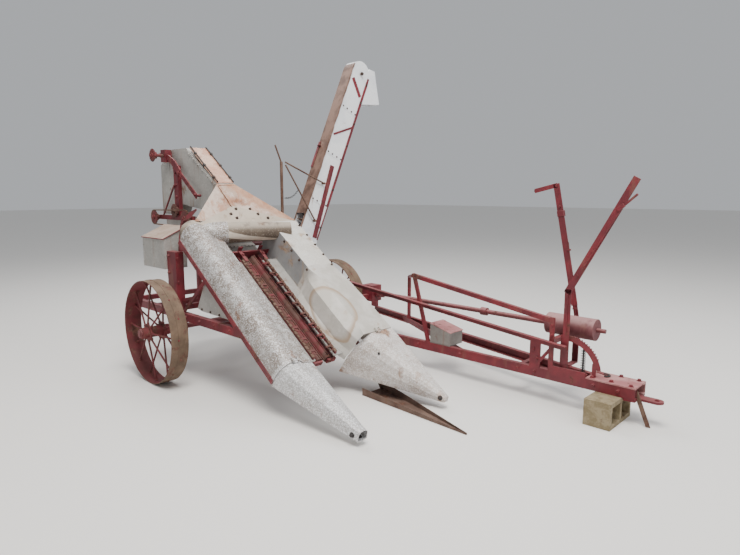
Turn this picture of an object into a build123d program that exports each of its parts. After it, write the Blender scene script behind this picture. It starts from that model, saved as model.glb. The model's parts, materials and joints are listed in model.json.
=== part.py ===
from build123d import *
from math import cos, pi, radians, sin
import os

# Driving dimensions, in millimetres. X is the way that the machine is drawn, Y is to its left,
# Z is up. While it is being laid out, X is 0 at the axle and Y is 0 at the right wheel's outer face.

# Wheels and axle
WHEEL_RADIUS = 457.0
RIM_WIDTH = 152.0
RIM_THICK = 9.0
RIM_BEAD = 3.0
SPOKE_COUNT = 16
SPOKE_RADIUS = 8.0
HUB_RADIUS = 48.0
HUB_FLANGE_RADIUS = 74.0
HUB_FLANGE_THICK = 12.0
HUB_NOSE = 46.0
AXLE_RADIUS = 25.0
AXLE_CLEARANCE = 0.05
LEFT_WHEEL_Y = 2110.0
AXLE_END_Y = 2960.0

# Main frame
RAIL_RIGHT_Y = 300.0
RAIL_LEFT_Y = 1660.0
RAIL_WIDE = 50.0
RAIL_HIGH = 70.0
RAIL_TOP = 600.0
RAIL_FRONT = 1000.0
RAIL_REAR = -1090.0
RAIL_WALL = 8.0

# Posts over the axle
POST_X = -130.0
POST_LONG = 160.0
POST_WIDE = 75.0
POST_TOP = 1140.0

# Gathering head: everything on it lies along one slope
HEAD_ANGLE = 36.0
HEAD_X = 60.0
HEAD_Z = 1220.0
HEAD_LENGTH = 1645.0
SHEET = 4.0
ANGLE_LEG = 45.0
ANGLE_WALL = 6.0
OUTER_Y = 305.0
TUBE_RADIUS = 120.0
TUBE_RISE = 100.0
SKIRT_Y = 620.0
SKIRT_RISE = 150.0
CROSS_START = 108.0
CROSS_END = 78.0
CROSS_SIDES = 12
CROSS_LEFT = (300.0, 1200.0, 335.0)
INNER_Y = 1060.0
INNER_FAR_Y = 1350.0
INNER_RISE = 340.0
DIVIDER_FROM = 170.0
# The lower part of the inner divider: distance down the slope, bulge to the row and to the far side
BULGES = ((850.0, 0.0, 0.0), (925.0, 78.0, 15.0), (1050.0, 110.0, 35.0), (1480.0, 120.0, 55.0),
          (HEAD_LENGTH, 40.0, 60.0))
BULGE_FLOOR = 46.0
CHAIN_RIGHT_Y = 690.0
CHAIN_LEFT_Y = 926.0
CHAIN_FROM = 420.0
ROW_Y = 850.0
ROLL_START = 300.0
ROLL_END = 1580.0
ROLL_SPREAD = 46.0
ROLL_JOURNAL = 12.0

# Hinges of the snouts: their Y and their rise above the slope
HINGE_ALONG = HEAD_LENGTH + 1.5
OUTER_HINGE = (425.0, 232.0)
INNER_HINGE = (1240.0, 353.0)
HINGE_HALF = 16.0
HINGE_LUG = 12.0
HINGE_PIN = 5.0
HINGE_DROP = 20.0

# Hood and first elevator
COVER_RISE = 378.0
ELEVATOR_Y = 760.0
ELEVATOR_WIDE = 180.0
ELEVATOR_DEEP = 320.0
HOOD_TOP = -373.0
ELEVATOR_TOP = -1035.0

# Drive shafts on the elevator's side, each with X, Z, its sprocket's radius and the Y of its end
DRIVE_SHAFTS = ((-930.0, 2040.0, 58.0, 560.0), (-740.0, 1480.0, 62.0, 670.0),
                (-1130.0, 1408.0, 66.0, 640.0), (-470.0, 1408.0, 78.0, 640.0))
DRIVE_SHAFT_RADIUS = 16.0

# Husking bed: the X of its rolls and of the cross members below it
HUSKING_X = (-1045.0, -971.0, -897.0, -823.0, -749.0, -675.0, -601.0)
BED_LEG_X = (RAIL_REAR, -570.0)
BED_FRONT_X = -515.0
STAY_POST_Y = 1870.0

# Wagon elevator
WAGON_FRONT_X = -500.0
WAGON_WIDE = 165.0
WAGON_DEEP = 310.0
WAGON_ANGLE = 65.7
WAGON_PIVOT = (2170.0, 980.0)
WAGON_REACH = 2375.0
WAGON_OPEN = 420.0
STAY_STAND_OFF = 34.0
STAY_RADIUS = 9.0

# Tongue
TONGUE_Y = 1990.0
TONGUE_WIDE = 45.0
TONGUE_HIGH = 80.0
TONGUE_WALL = 7.0
TONGUE_FRONT = 3400.0
NOSE_REAR = 3040.0
NOSE_WIDE = 225.0
NOSE_THICK = 10.0
HITCH_X = 3515.0
HITCH_WIDE = 90.0
HITCH_BORE = 16.5
FAR_REAR = (-40.0, 2930.0)
FAR_FRONT = (3060.0, 2168.0)

# Levers, drive shaft and shield on the tongue
LEVER_THICK = 12.0
LEVER_WIDE = 36.0
HEIGHT_PIVOT = (2865.0, 297.0)
HEIGHT_BEND = (2862.0, 920.0)
HEIGHT_TOP = (3306.0, 1762.0)
HEIGHT_Y = 2010.0
LIFT_PIVOT = (2800.0, 600.0)
LIFT_TOP = (2560.0, 1735.0)
LIFT_Y = 2350.0
QUADRANT_RADIUS = 275.0
QUADRANT_WIDE = 44.0
SHAFT_Y = 2230.0
SHAFT_Z = 600.0
SHAFT_RADIUS = 22.0
SHAFT_JOINTS = (692.0, 1960.0)
JOINT_LONG = 60.0
JOINT_RADIUS = 36.0
STUB_RADIUS = 17.46
STUB = (3013.0, 3078.0)
JOURNAL_RADIUS = 16.0
SHIELD_RADIUS = 86.0
SHIELD = (2610.0, 3010.0)

# Toolbox: the X and Z of its lid's hinge, and the radius of the lids' pins
BOX_HINGE = (1546.0, 451.0)
LID_PIN = 3.0

# Concrete block that the tongue rests on
BLOCK = (194.0, 397.0, 194.0)
BLOCK_X = 3215.0
BLOCK_Y = 1790.0
BLOCK_WALL = 32.0

TONGUE_BOTTOM = BLOCK[2]
TONGUE_TOP = TONGUE_BOTTOM + TONGUE_HIGH
SLOPE_COS, SLOPE_SIN = cos(radians(HEAD_ANGLE)), sin(radians(HEAD_ANGLE))


def head_plane(along=0.0):
    """The plane across the slope of the head: its x is Y and its y is the rise above the slope."""
    origin = (HEAD_X + along * SLOPE_COS, 0, HEAD_Z - along * SLOPE_SIN)
    return Plane(origin=origin, x_dir=(0, 1, 0), z_dir=(SLOPE_COS, 0, -SLOPE_SIN))


def head_point(along, y, rise):
    """A point of the head, from its distance down the slope, its Y and its rise above the slope."""
    x = HEAD_X + along * SLOPE_COS + rise * SLOPE_SIN
    z = HEAD_Z - along * SLOPE_SIN + rise * SLOPE_COS
    return (x, y, z)


def brick(x, y, z):
    """A box between two values on each axis."""
    size = (x[1] - x[0], y[1] - y[0], z[1] - z[0])
    return Pos((x[0] + x[1]) / 2, (y[0] + y[1]) / 2, (z[0] + z[1]) / 2) * Box(*size)


def side_plate(points, y):
    """A plate seen from the side: its outline is in X and Z and it lies between two values of Y."""
    outline = Polyline(*[(px, y[0], pz) for px, pz in points], close=True)
    return extrude(make_face(outline), amount=y[1] - y[0], dir=(0, 1, 0))


def front_plate(points, x):
    """A plate seen from the front: its outline is in Y and Z and it lies between two values of X."""
    outline = Polyline(*[(x[0], py, pz) for py, pz in points], close=True)
    return extrude(make_face(outline), amount=x[1] - x[0], dir=(1, 0, 0))


def along_line(start, end, side):
    """The plane at start that faces end, with its x towards side."""
    way = Vector(*end) - Vector(*start)
    return Plane(origin=start, x_dir=side, z_dir=way), way.length


def bar(start, end, wide, high, side=(0, 1, 0)):
    """A straight bar of wide by high section, where wide lies towards side."""
    plane, length = along_line(start, end, side)
    return extrude(plane * Rectangle(wide, high), amount=length)


def rod(start, end, radius, bore=0.0):
    """A round bar, or a tube where it has a bore, between two points."""
    way = Vector(*end) - Vector(*start)
    plane = Plane(origin=start, z_dir=way)
    section = Circle(radius) - Circle(bore) if bore else Circle(radius)
    return extrude(plane * section, amount=way.length)


def angle_bar(start, end, leg, wall, side, flip=1):
    """An angle iron with its corner on the line, one leg towards side and one leg across it."""
    plane, length = along_line(start, end, side)
    flat = Pos(leg / 2, flip * wall / 2) * Rectangle(leg, wall)
    upright = Pos(wall / 2, flip * leg / 2) * Rectangle(wall, leg)
    return extrude(plane * (flat + upright), amount=length)


def channel_bar(start, end, wide, high, wall, side):
    """A channel iron with its web on the line's near side and its flanges towards side."""
    plane, length = along_line(start, end, side)
    section = Pos(wide / 2, 0) * Rectangle(wide, high)
    section -= Pos(wide / 2 + wall, 0) * Rectangle(wide, high - 2 * wall)
    return extrude(plane * section, amount=length)


def joined(pieces):
    """All the pieces fused into one."""
    pieces = list(pieces)
    whole = pieces[0]
    for piece in pieces[1:]:
        whole += piece
    return whole


# Wheels and axle


def wheel_rim(near_y):
    """The flat steel rim with its middle bead, and its round spokes, staggered to two flanges."""
    middle = near_y + RIM_WIDTH / 2
    ring = Cylinder(WHEEL_RADIUS, RIM_WIDTH) - Cylinder(WHEEL_RADIUS - RIM_THICK, RIM_WIDTH)
    ring -= Cylinder(WHEEL_RADIUS, RIM_WIDTH) - Cylinder(WHEEL_RADIUS - RIM_BEAD, RIM_WIDTH)
    ring += Cylinder(WHEEL_RADIUS, RIM_WIDTH / 6) - Cylinder(WHEEL_RADIUS - RIM_BEAD, RIM_WIDTH / 6)
    ring = Pos(0, middle, WHEEL_RADIUS) * Rot(90, 0, 0) * ring
    for turn in range(SPOKE_COUNT):
        side = 1 if turn % 2 else -1
        angle = 2 * pi * turn / SPOKE_COUNT
        foot, head = HUB_FLANGE_RADIUS - 2, WHEEL_RADIUS - RIM_THICK + 3
        start = (foot * sin(angle), middle + side * 62, WHEEL_RADIUS + foot * cos(angle))
        end = (head * sin(angle), middle + side * 12, WHEEL_RADIUS + head * cos(angle))
        ring += rod(start, end, SPOKE_RADIUS)
    return ring - hub_solid(near_y)


def hub_solid(near_y):
    """The hub's outer form, a barrel with two flanges and a long nose at each end."""
    middle = near_y + RIM_WIDTH / 2
    half = RIM_WIDTH / 2 + HUB_NOSE
    form = Cylinder(HUB_RADIUS, 2 * half)
    form += Pos(0, 0, 62) * Cylinder(HUB_FLANGE_RADIUS, HUB_FLANGE_THICK)
    form += Pos(0, 0, -62) * Cylinder(HUB_FLANGE_RADIUS, HUB_FLANGE_THICK)
    return Pos(0, middle, WHEEL_RADIUS) * Rot(90, 0, 0) * form


def wheel_hub(near_y):
    """The cast hub, bored for the axle."""
    bore = rod((0, near_y - 200, WHEEL_RADIUS), (0, near_y + 400, WHEEL_RADIUS),
               AXLE_RADIUS + AXLE_CLEARANCE)
    return hub_solid(near_y) - bore


def axle():
    """The round axle through both wheels, with a collar each side of each hub."""
    shaft = rod((0, -HUB_NOSE - 22, WHEEL_RADIUS), (0, AXLE_END_Y, WHEEL_RADIUS), AXLE_RADIUS)
    for wheel_y in (0.0, LEFT_WHEEL_Y):
        for edge in (wheel_y - HUB_NOSE - 16, wheel_y + RIM_WIDTH + HUB_NOSE + 1):
            shaft += rod((0, edge, WHEEL_RADIUS), (0, edge + 15, WHEEL_RADIUS), AXLE_RADIUS + 14)
    return shaft


# Frame


def main_frame():
    """Two side rails and their cross members, all channel, over the axle."""
    low, high = RAIL_TOP - RAIL_HIGH, RAIL_TOP
    middle = (low + high) / 2
    right = channel_bar((RAIL_REAR, RAIL_RIGHT_Y, middle), (RAIL_FRONT, RAIL_RIGHT_Y, middle),
                        RAIL_WIDE, RAIL_HIGH, RAIL_WALL, (0, 1, 0))
    left = channel_bar((RAIL_REAR, RAIL_LEFT_Y + RAIL_WIDE, middle),
                       (RAIL_FRONT - 300, RAIL_LEFT_Y + RAIL_WIDE, middle),
                       RAIL_WIDE, RAIL_HIGH, RAIL_WALL, (0, -1, 0))
    pieces = [right, left]
    for x in (*BED_LEG_X, -330, RAIL_FRONT - 400):
        pieces.append(brick((x, x + 50), (RAIL_RIGHT_Y + 5, RAIL_LEFT_Y + RAIL_WIDE - 5),
                            (low + 10, high - 10)))
    for y in (RAIL_RIGHT_Y, RAIL_LEFT_Y):
        pieces.append(brick((-70, 70), (y, y + RAIL_WIDE), (WHEEL_RADIUS - 45, low)))
    frame = joined(pieces) - rod((0, 100, WHEEL_RADIUS), (0, 2000, WHEEL_RADIUS), AXLE_RADIUS)
    above = Pos(RAIL_RIGHT_Y, 300) * Rectangle(400, 600)
    return frame - extrude(head_plane(600) * above, amount=900) + lift_bracket()


def post(y):
    """A formed box post that stands on a side rail over the axle."""
    outer = brick((POST_X, POST_X + POST_LONG), (y, y + POST_WIDE), (RAIL_TOP, POST_TOP))
    inner = brick((POST_X + 6, POST_X + POST_LONG - 6), (y + 6, y + POST_WIDE - 6), (RAIL_TOP - 1, POST_TOP - 6))
    return outer - inner


def head_rails():
    """The two angle irons that carry the dividers, and the tie between them."""
    pieces = [angle_bar(head_point(0, OUTER_Y - ANGLE_WALL, 0), head_point(HEAD_LENGTH, OUTER_Y - ANGLE_WALL, 0),
                        ANGLE_LEG, ANGLE_WALL, (0, 1, 0), 1),
              angle_bar(head_point(0, INNER_FAR_Y + ANGLE_WALL, 0),
                        head_point(HEAD_LENGTH, INNER_FAR_Y + ANGLE_WALL, 0),
                        ANGLE_LEG, ANGLE_WALL, (0, -1, 0), 1)]
    start = head_point(60, OUTER_Y, -15)
    end = head_point(60, INNER_FAR_Y, -15)
    pieces.append(bar(start, end, 30, 30, (SLOPE_COS, 0, -SLOPE_SIN)))
    return joined(pieces)


def head_braces():
    """The braces on the right rail: one up to the angle iron, one from the post to the skirt."""
    y = RAIL_RIGHT_Y + 23
    top = head_point(485, y, 0)
    long = bar((60, y, RAIL_TOP - 2), (top[0] + 9, y, top[2] - 4), 10, 32)
    long -= brick((0, 200), (y - 10, y + 10), (RAIL_TOP - RAIL_HIGH, RAIL_TOP))
    post_front = POST_X + POST_LONG
    short = bar((post_front - 10, y + 10, 703), (320, y + 10, 772), 10, 26)
    short -= brick((post_front - 40, post_front), (y, y + 20), (650, 750))
    return long + short


def post_gusset():
    """The curved dark plate from the post up past the elbow's back."""
    outline = [(-70, 1080), (20, 1080), (0, 1180), (-2, 1290), (18, 1372), (64, 1416), (124, 1432),
               (190, 1448), (300, 1514), (294, 1526), (176, 1494), (8, 1396), (-34, 1270)]
    plate = side_plate(outline, (RAIL_RIGHT_Y + POST_WIDE - 15, RAIL_RIGHT_Y + POST_WIDE - 9))
    x, y, z = cross_axis()[0]
    return plate - divider_stop() - rod((x, y - 100, z), (x, y, z), TUBE_RADIUS - 15)


def side_skirt():
    """The pale sheet panel that hangs from the outer angle iron, above the side rail."""
    upper, lower = head_point(470, 0, 0), head_point(930, 0, 0)
    points = [(285, 665), (352, 648), (lower[0], 639), (lower[0], lower[2]), (upper[0], upper[2])]
    return side_plate(points, (RAIL_RIGHT_Y + 38, RAIL_RIGHT_Y + 38 + SHEET))


# Gathering head


def outer_section():
    """The outer divider's section: an upright outer wall, a round top and a sloping inner skirt."""
    y, r = OUTER_Y, TUBE_RADIUS
    face = Pos(y + r, TUBE_RISE / 2) * Rectangle(2 * r, TUBE_RISE)
    face += Pos(y + r, TUBE_RISE) * Circle(r)
    skirt = [(y + r, TUBE_RISE), (y + r + 0.8 * r, TUBE_RISE + 0.6 * r), (SKIRT_Y, SKIRT_RISE),
             (SKIRT_Y, SKIRT_RISE - 60), (y + 2 * r, TUBE_RISE - 60)]
    face += make_face(Polyline(*skirt, close=True))
    return face


def outer_divider():
    """The outer divider, sheet metal open below."""
    face = outer_section()
    shell = face - offset(face, -SHEET)
    shell -= Pos(OUTER_Y + 2 * TUBE_RADIUS, ANGLE_WALL - 30) * Rectangle(6 * TUBE_RADIUS, 60)
    return extrude(head_plane() * shell, amount=HEAD_LENGTH) + hinge_pin(*OUTER_HINGE)


def shrunk(points, by):
    """The points of an outline, drawn in towards its middle by a distance."""
    middle = (sum(y for y, _ in points) / len(points), sum(z for _, z in points) / len(points))
    inner = []
    for y, z in points:
        reach = ((y - middle[0]) ** 2 + (z - middle[1]) ** 2) ** 0.5
        share = 1 - by / reach
        inner.append((middle[0] + (y - middle[0]) * share, middle[1] + (z - middle[1]) * share))
    return inner


def snout_form(base, tip, tip_place, start, reach):
    """The form between an outline across the slope and a smaller one at the tip."""
    rear = head_plane(start) * make_face(Polyline(*base, close=True))
    x, y, z = tip_place
    front = Plane(origin=(x + reach, y, z - 0.25 * reach), x_dir=(0, 1, 0), z_dir=(1, 0, -0.25))
    return loft([rear, front * make_face(Polyline(*tip, close=True))], ruled=True)


def outer_snout():
    """The outer snout, hinged at the end of the outer divider, with its blunt end open."""
    y, r, rise = OUTER_Y + 4, TUBE_RADIUS - 3, TUBE_RISE
    middle = y + r
    base = [(y, -18), (y, rise), (middle - 0.85 * r, rise + 0.53 * r), (middle - 0.45 * r, rise + 0.89 * r),
            (middle, rise + r), (middle + 0.45 * r, rise + 0.89 * r), (middle + 0.8 * r, rise + 0.6 * r),
            (SKIRT_Y, SKIRT_RISE), (SKIRT_Y, 70), (middle, -18)]
    tip = [(-44, -38), (-44, 8), (-38, 26), (-22, 36), (0, 39), (20, 36), (34, 26), (42, 10), (42, -38),
           (0, -42)]
    place = (2225, 428, 74)
    form = snout_form(base, tip, place, HEAD_LENGTH + 3, 0)
    form -= snout_form(shrunk(base, SHEET), shrunk(tip, SHEET), place, HEAD_LENGTH + 2, 3)
    return form + hinge_eye(*OUTER_HINGE)


def hinge_pin(y, rise):
    """The pin and its two lugs on the end of a divider, which its snout turns on."""
    reach = HINGE_HALF + HINGE_LUG
    pin = rod(head_point(HINGE_ALONG, y - reach - 3, rise), head_point(HINGE_ALONG, y + reach + 3, rise),
              HINGE_PIN)
    profile = [(HEAD_LENGTH - 24, rise - 19), (HEAD_LENGTH, rise - 19), (HEAD_LENGTH, rise - 9),
               (HEAD_LENGTH + 12, rise - 9), (HEAD_LENGTH + 12, rise + 9), (HEAD_LENGTH - 24, rise + 9)]
    outline = [head_point(along, 0, up)[::2] for along, up in profile]
    for near in (y - reach, y + HINGE_HALF + 1):
        pin += side_plate(outline, (near, near + HINGE_LUG - 1))
    return pin


def hinge_eye(y, rise):
    """The bored eye on the top edge of a snout."""
    low, high = head_point(HINGE_ALONG, y - HINGE_HALF, rise), head_point(HINGE_ALONG, y + HINGE_HALF, rise)
    eye = rod(low, high, HINGE_PIN + 4)
    foot = Pos(y, rise - HINGE_DROP / 2 - 2) * Rectangle(2 * HINGE_HALF, HINGE_DROP + 6)
    eye += extrude(head_plane(HEAD_LENGTH + 4) * foot, amount=16)
    return eye - rod(head_point(HINGE_ALONG, y - 90, rise), head_point(HINGE_ALONG, y + 90, rise),
                     HINGE_PIN + AXLE_CLEARANCE)


def inner_snout():
    """The inner snout, hinged at the end of the inner divider, open below."""
    near, far, top = INNER_Y - 20, INNER_FAR_Y + 68, INNER_RISE - 4
    base = [(near, -105), (near - 6, 90), (near + 24, 215), (near + 70, 285), (near + 130, top),
            (far, top), (far, -60)]
    tip = [(-24, -20), (-25, 0), (-20, 12), (-10, 18), (0, 21), (23, 20), (23, -20)]
    inner = shrunk(base, SHEET)
    inner[0], inner[-1] = (inner[0][0], -190), (inner[-1][0], -150)
    hollow = shrunk(tip, SHEET)
    hollow[0], hollow[-1] = (hollow[0][0], -40), (hollow[-1][0], -40)
    form = snout_form(base, tip, (2240, 1330, 76), HEAD_LENGTH + 3, 0)
    form -= snout_form(inner, hollow, (2200, 1330, 84), HEAD_LENGTH + 2, 0)
    return form + hinge_eye(*INNER_HINGE)


def inner_outline(bulge, far, inset, floor):
    """The inner divider's outline: an upright row side that bulges out round, and a flat top."""
    side, top = INNER_Y + inset, INNER_RISE - inset
    return [(side - bulge, floor), (side - bulge, 0.25 * top), (side - 0.6 * bulge, 0.4 * top),
            (side - 0.34 * bulge, 0.8 * top), (side + 0.4 * bulge, top), (INNER_FAR_Y + far - inset, top),
            (INNER_FAR_Y + far - inset, floor)]


def inner_form(inset, floor):
    """The inner divider's form, or its hollow where an inset is given."""
    upper = make_face(Polyline(*inner_outline(0, 0, inset, floor), close=True))
    form = extrude(head_plane(DIVIDER_FROM) * upper, amount=BULGES[0][0] - DIVIDER_FROM)
    sections = []
    for along, bulge, far in BULGES:
        outline = Polyline(*inner_outline(bulge, far, inset, floor), close=True)
        sections.append(head_plane(along) * make_face(outline))
    return form + loft(sections, ruled=True)


def inner_divider():
    """The inner divider: a flat top, an upright row side that bulges lower down, open below."""
    start = BULGES[0][0] - 1
    under = Pos(INNER_Y, 0) * Rectangle(260, 2 * BULGE_FLOOR)
    room = extrude(head_plane(start) * under, amount=HEAD_LENGTH + 10 - start)
    far_flange = Pos(INNER_FAR_Y + ANGLE_WALL - ANGLE_LEG / 2, 0) * Rectangle(ANGLE_LEG, 2 * ANGLE_WALL)
    flange = extrude(head_plane() * far_flange, amount=HEAD_LENGTH)
    return inner_form(0, 0) - inner_form(SHEET, -20) - room - flange + hinge_pin(*INNER_HINGE)


def cross_axis():
    """The two ends of the cross tube's middle line."""
    return head_point(0, OUTER_Y + TUBE_RADIUS, TUBE_RISE), head_point(*CROSS_LEFT)


def cross_form(inset):
    """The tapered cross tube and its round elbow, or their hollow where an inset is given."""
    start, end = cross_axis()
    way = Vector(*end) - Vector(*start)
    plane = Plane(origin=start, z_dir=way)
    tube = plane * Cone(CROSS_START - inset, CROSS_END - inset, way.length + inset,
                        align=(Align.CENTER, Align.CENTER, Align.MIN))
    elbow = Plane(origin=start, z_dir=(-0.07, 0.9, 0.42)) * Sphere(TUBE_RADIUS - inset)
    return tube + elbow


def cross_room():
    """The many-sided room round the cross tube that the hood is cut back to."""
    start, end = cross_axis()
    way = Vector(*end) - Vector(*start)
    rear = Plane(origin=start, z_dir=way).offset(-CROSS_START)
    low = rear * RegularPolygon(CROSS_START + 25, CROSS_SIDES)
    high = rear.offset(way.length + CROSS_START) * RegularPolygon(CROSS_END + 4, CROSS_SIDES)
    return loft([low, high], ruled=True)


def cross_tube():
    """The round front edge of the hood, from the outer divider's bend to the inner divider."""
    stop = extrude(head_plane() * Pos(OUTER_Y, TUBE_RISE) * Rectangle(
        2 * (SKIRT_Y - OUTER_Y) + 8, 600), amount=400)
    return cross_form(0) - cross_form(SHEET) - stop - inner_form(0, 0)


def apron():
    """The pale sheet over the foot of the hood, behind the cross tube."""
    low, far, peak = head_point(20, 400, 214), head_point(185, 1345, 342), head_point(-105, 800, 322)
    normal = (Vector(*far) - Vector(*low)).cross(Vector(*peak) - Vector(*low)).normalized()
    sheet = extrude(make_face(Polyline(low, far, peak, close=True)), amount=-26, dir=normal)
    return sheet - hood_form(0, 0) - cross_form(0) - inner_form(0, 0) - divider_stop()


def divider_stop():
    """The room that the outer divider takes, as one block."""
    return extrude(head_plane() * Pos(OUTER_Y + TUBE_RADIUS, 0) * Rectangle(
        2 * (SKIRT_Y - OUTER_Y), 2 * (TUBE_RISE + TUBE_RADIUS) + 2), amount=400)


def hood_form(inset, drop):
    """The hood's form: its front edge follows the cross tube and its top meets the elevator."""
    y, far = OUTER_Y + 85 + inset, INNER_FAR_Y - inset
    front = [head_point(-4, y, 100 - drop), head_point(-4, y, TUBE_RISE + 112 - inset),
             head_point(164, far, INNER_RISE - inset), head_point(164, far, 200 - drop)]
    base = make_face(Polyline(*front, close=True))
    narrow = head_plane(HOOD_TOP) * Pos(ELEVATOR_Y + ELEVATOR_WIDE / 2, COVER_RISE - 60 - drop)
    top = narrow * Rectangle(ELEVATOR_WIDE - 2 * inset, 120 + 2 * (drop - inset))
    return loft([base, top], ruled=True)


def hood():
    """The pyramid hood, from the cross tube's width up to the first elevator, open below."""
    sheet = hood_form(0, 0) - hood_form(SHEET, 30) - divider_stop() - cross_room()
    # The cut leaves an off-cut behind the cross tube, which isn't a piece of the hood
    return max(sheet.solids(), key=lambda solid: solid.volume)


def throat_walls():
    """The grey sheet walls that close the throat behind the dividers."""
    right = extrude(head_plane(150) * Pos(SKIRT_Y + SHEET / 2, 100) * Rectangle(SHEET, 60), amount=126)
    floor = extrude(head_plane(-330) * Pos(ROW_Y, SHEET / 2) * Rectangle(380, SHEET), amount=520)
    back = extrude(head_plane(-329) * Pos(ROW_Y, SHEET + 79) * Rectangle(376, 158), amount=SHEET)
    return Compound([right, floor, back])


def roll_frame():
    """The plate, rails and low blocks that carry the two snapping rolls."""
    plate = extrude(head_plane(ROLL_START - 24) * Pos((SKIRT_Y + INNER_Y) / 2, 26) * Rectangle(
        INNER_Y - SKIRT_Y, 148), amount=14)
    pieces = [plate]
    for side in (-1, 1):
        rail = Pos(ROW_Y + side * (ROLL_SPREAD + 62), 20) * Rectangle(14, 40)
        pieces.append(extrude(head_plane(ROLL_START - 12) * rail, amount=ROLL_END - ROLL_START + 36))
        block = Pos(ROW_Y + side * (ROLL_SPREAD + 24), 20) * Rectangle(88, 40)
        pieces.append(extrude(head_plane(ROLL_END + 6) * block, amount=18))
    frame = joined(pieces)
    for side in (-1, 1):
        y = ROW_Y + side * ROLL_SPREAD
        frame -= rod(head_point(ROLL_START - 40, y, 20), head_point(ROLL_END + 40, y, 20),
                     ROLL_JOURNAL + AXLE_CLEARANCE)
    return frame


def first_elevator():
    """The tall narrow housing that carries the ears up to the husking bed."""
    top = head_point(HOOD_TOP, 0, COVER_RISE)
    peak = head_point(ELEVATOR_TOP, 0, COVER_RISE - 40)
    low = head_point(HOOD_TOP, 0, COVER_RISE - ELEVATOR_DEEP)
    rear = peak[0] - 560
    outline = [(top[0], top[2]), (peak[0], peak[2]), (rear + 280, peak[2]), (rear, peak[2] - 150),
               (rear, 1440), (rear + 260, 1440), (rear + 330, 1560), (low[0], low[2])]
    y = (ELEVATOR_Y, ELEVATOR_Y + ELEVATOR_WIDE)
    outer = side_plate(outline, y)
    face = make_face(Polyline(*[(px, y[0] + SHEET, pz) for px, pz in outline], close=True))
    inner = extrude(offset(face, -SHEET), amount=ELEVATOR_WIDE - 2 * SHEET, dir=(0, 1, 0))
    chute = brick((rear + SHEET, rear + 256), (y[0] + SHEET, y[1] - SHEET), (1400, 1500))
    mouth = extrude(head_plane(HOOD_TOP - 20) * Pos(ELEVATOR_Y + ELEVATOR_WIDE / 2,
                    COVER_RISE - ELEVATOR_DEEP / 2) * Rectangle(
                    ELEVATOR_WIDE - 2 * SHEET, ELEVATOR_DEEP - 2 * SHEET), amount=60)
    return outer - inner - chute - mouth


def elevator_cover():
    """The stained cover along the top of the first elevator, with raised rims."""
    middle = ELEVATOR_Y + ELEVATOR_WIDE / 2
    section = Pos(middle, COVER_RISE + 3) * Rectangle(ELEVATOR_WIDE - 20, 6)
    for side in (-1, 1):
        section += Pos(middle + side * (ELEVATOR_WIDE / 2 - 6), COVER_RISE + 8) * Rectangle(12, 16)
    start, end = ELEVATOR_TOP + 60, HOOD_TOP - 10
    return extrude(head_plane(start) * section, amount=end - start)


def snapping_roll(y):
    """One ribbed snapping roll, in its bearings under the throat."""
    start, end = head_point(ROLL_START, y, 20), head_point(ROLL_END, y, 20)
    way = Vector(*end) - Vector(*start)
    plane = Plane(origin=start, x_dir=(0, 1, 0), z_dir=way)
    roll = extrude(plane * Circle(34), amount=way.length)
    for turn in range(4):
        rib = plane * Rot(0, 0, 90 * turn) * Pos(36, 0) * Rectangle(8, 9)
        roll += extrude(rib, amount=way.length)
    journal = rod(head_point(ROLL_START - 30, y, 20), head_point(ROLL_END + 30, y, 20), ROLL_JOURNAL)
    return roll + journal


def gathering_chain(y, side):
    """One gathering chain: a straight run of links with raised lugs along the slope."""
    run = extrude(head_plane(CHAIN_FROM) * Pos(y, 110) * Rectangle(16, 20), amount=1180)
    for lug in range(9):
        place = CHAIN_FROM + 60 + lug * 130
        finger = extrude(head_plane(place) * Pos(y + side * 30, 114) * Rectangle(62, 8), amount=14)
        run += finger
    return run


def chain_guides():
    """The flat guides under the gathering chains, fixed to the dividers."""
    right = Pos((SKIRT_Y + CHAIN_RIGHT_Y + 20) / 2, 94) * Rectangle(CHAIN_RIGHT_Y + 20 - SKIRT_Y, 12)
    left = Pos((CHAIN_LEFT_Y - 20 + INNER_Y) / 2, 94) * Rectangle(INNER_Y - CHAIN_LEFT_Y + 20, 12)
    plane = head_plane(CHAIN_FROM)
    return Compound([extrude(plane * right, amount=1190), extrude(plane * left, amount=1190) - inner_form(0, 0)])


def floor_shoe():
    """The open rusty trough that lies on the ground below the inner snout."""
    rear, front = 1560, 2620
    outer = [(rear, 1090), (rear, 1330), (front, 1055), (front, 1045)]
    base = make_face(Polyline(*[(px, py, 0) for px, py in outer], close=True))
    floor = extrude(base, amount=SHEET, dir=(0, 0, 1))
    near = make_face(Polyline((rear, 1090, 0), (front, 1045, 0), (front, 1045, 12),
                              (rear, 1090, 62), close=True))
    far = make_face(Polyline((rear, 1330, 0), (front, 1055, 0), (front, 1055, 12),
                             (rear, 1330, 72), close=True))
    strap = extrude(head_plane(HEAD_LENGTH) * Pos(INNER_FAR_Y - 19, 3) * Rectangle(30, 6), amount=20)
    strap += bar(head_point(HEAD_LENGTH + 12, INNER_FAR_Y - 19, 1), (1600, 1290, 6), 30, 6)
    return joined([floor, extrude(near, amount=SHEET, dir=(0, 1, 0)),
                   extrude(far, amount=SHEET, dir=(0, -1, 0)), strap])


# Grey box, drive and husking bed


def shield_box():
    """The grey sheet box beside the post, open at the top under its lid."""
    outline = [(260, 975), (480, 975), (480, 1350), (260, 1250)]
    outer = front_plate(outline, (-560, POST_X))
    inner = front_plate([(264, 979), (476, 979), (476, 1400), (264, 1400)], (-556, POST_X - SHEET))
    return outer - inner


def shield_box_lid():
    """The sloping lid of the grey box, hinged along its high side."""
    outline = [(252, 1246.4), (486, 1352.8), (486, 1358.8), (252, 1252.4)]
    return front_plate(outline, (-566, -125))


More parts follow.
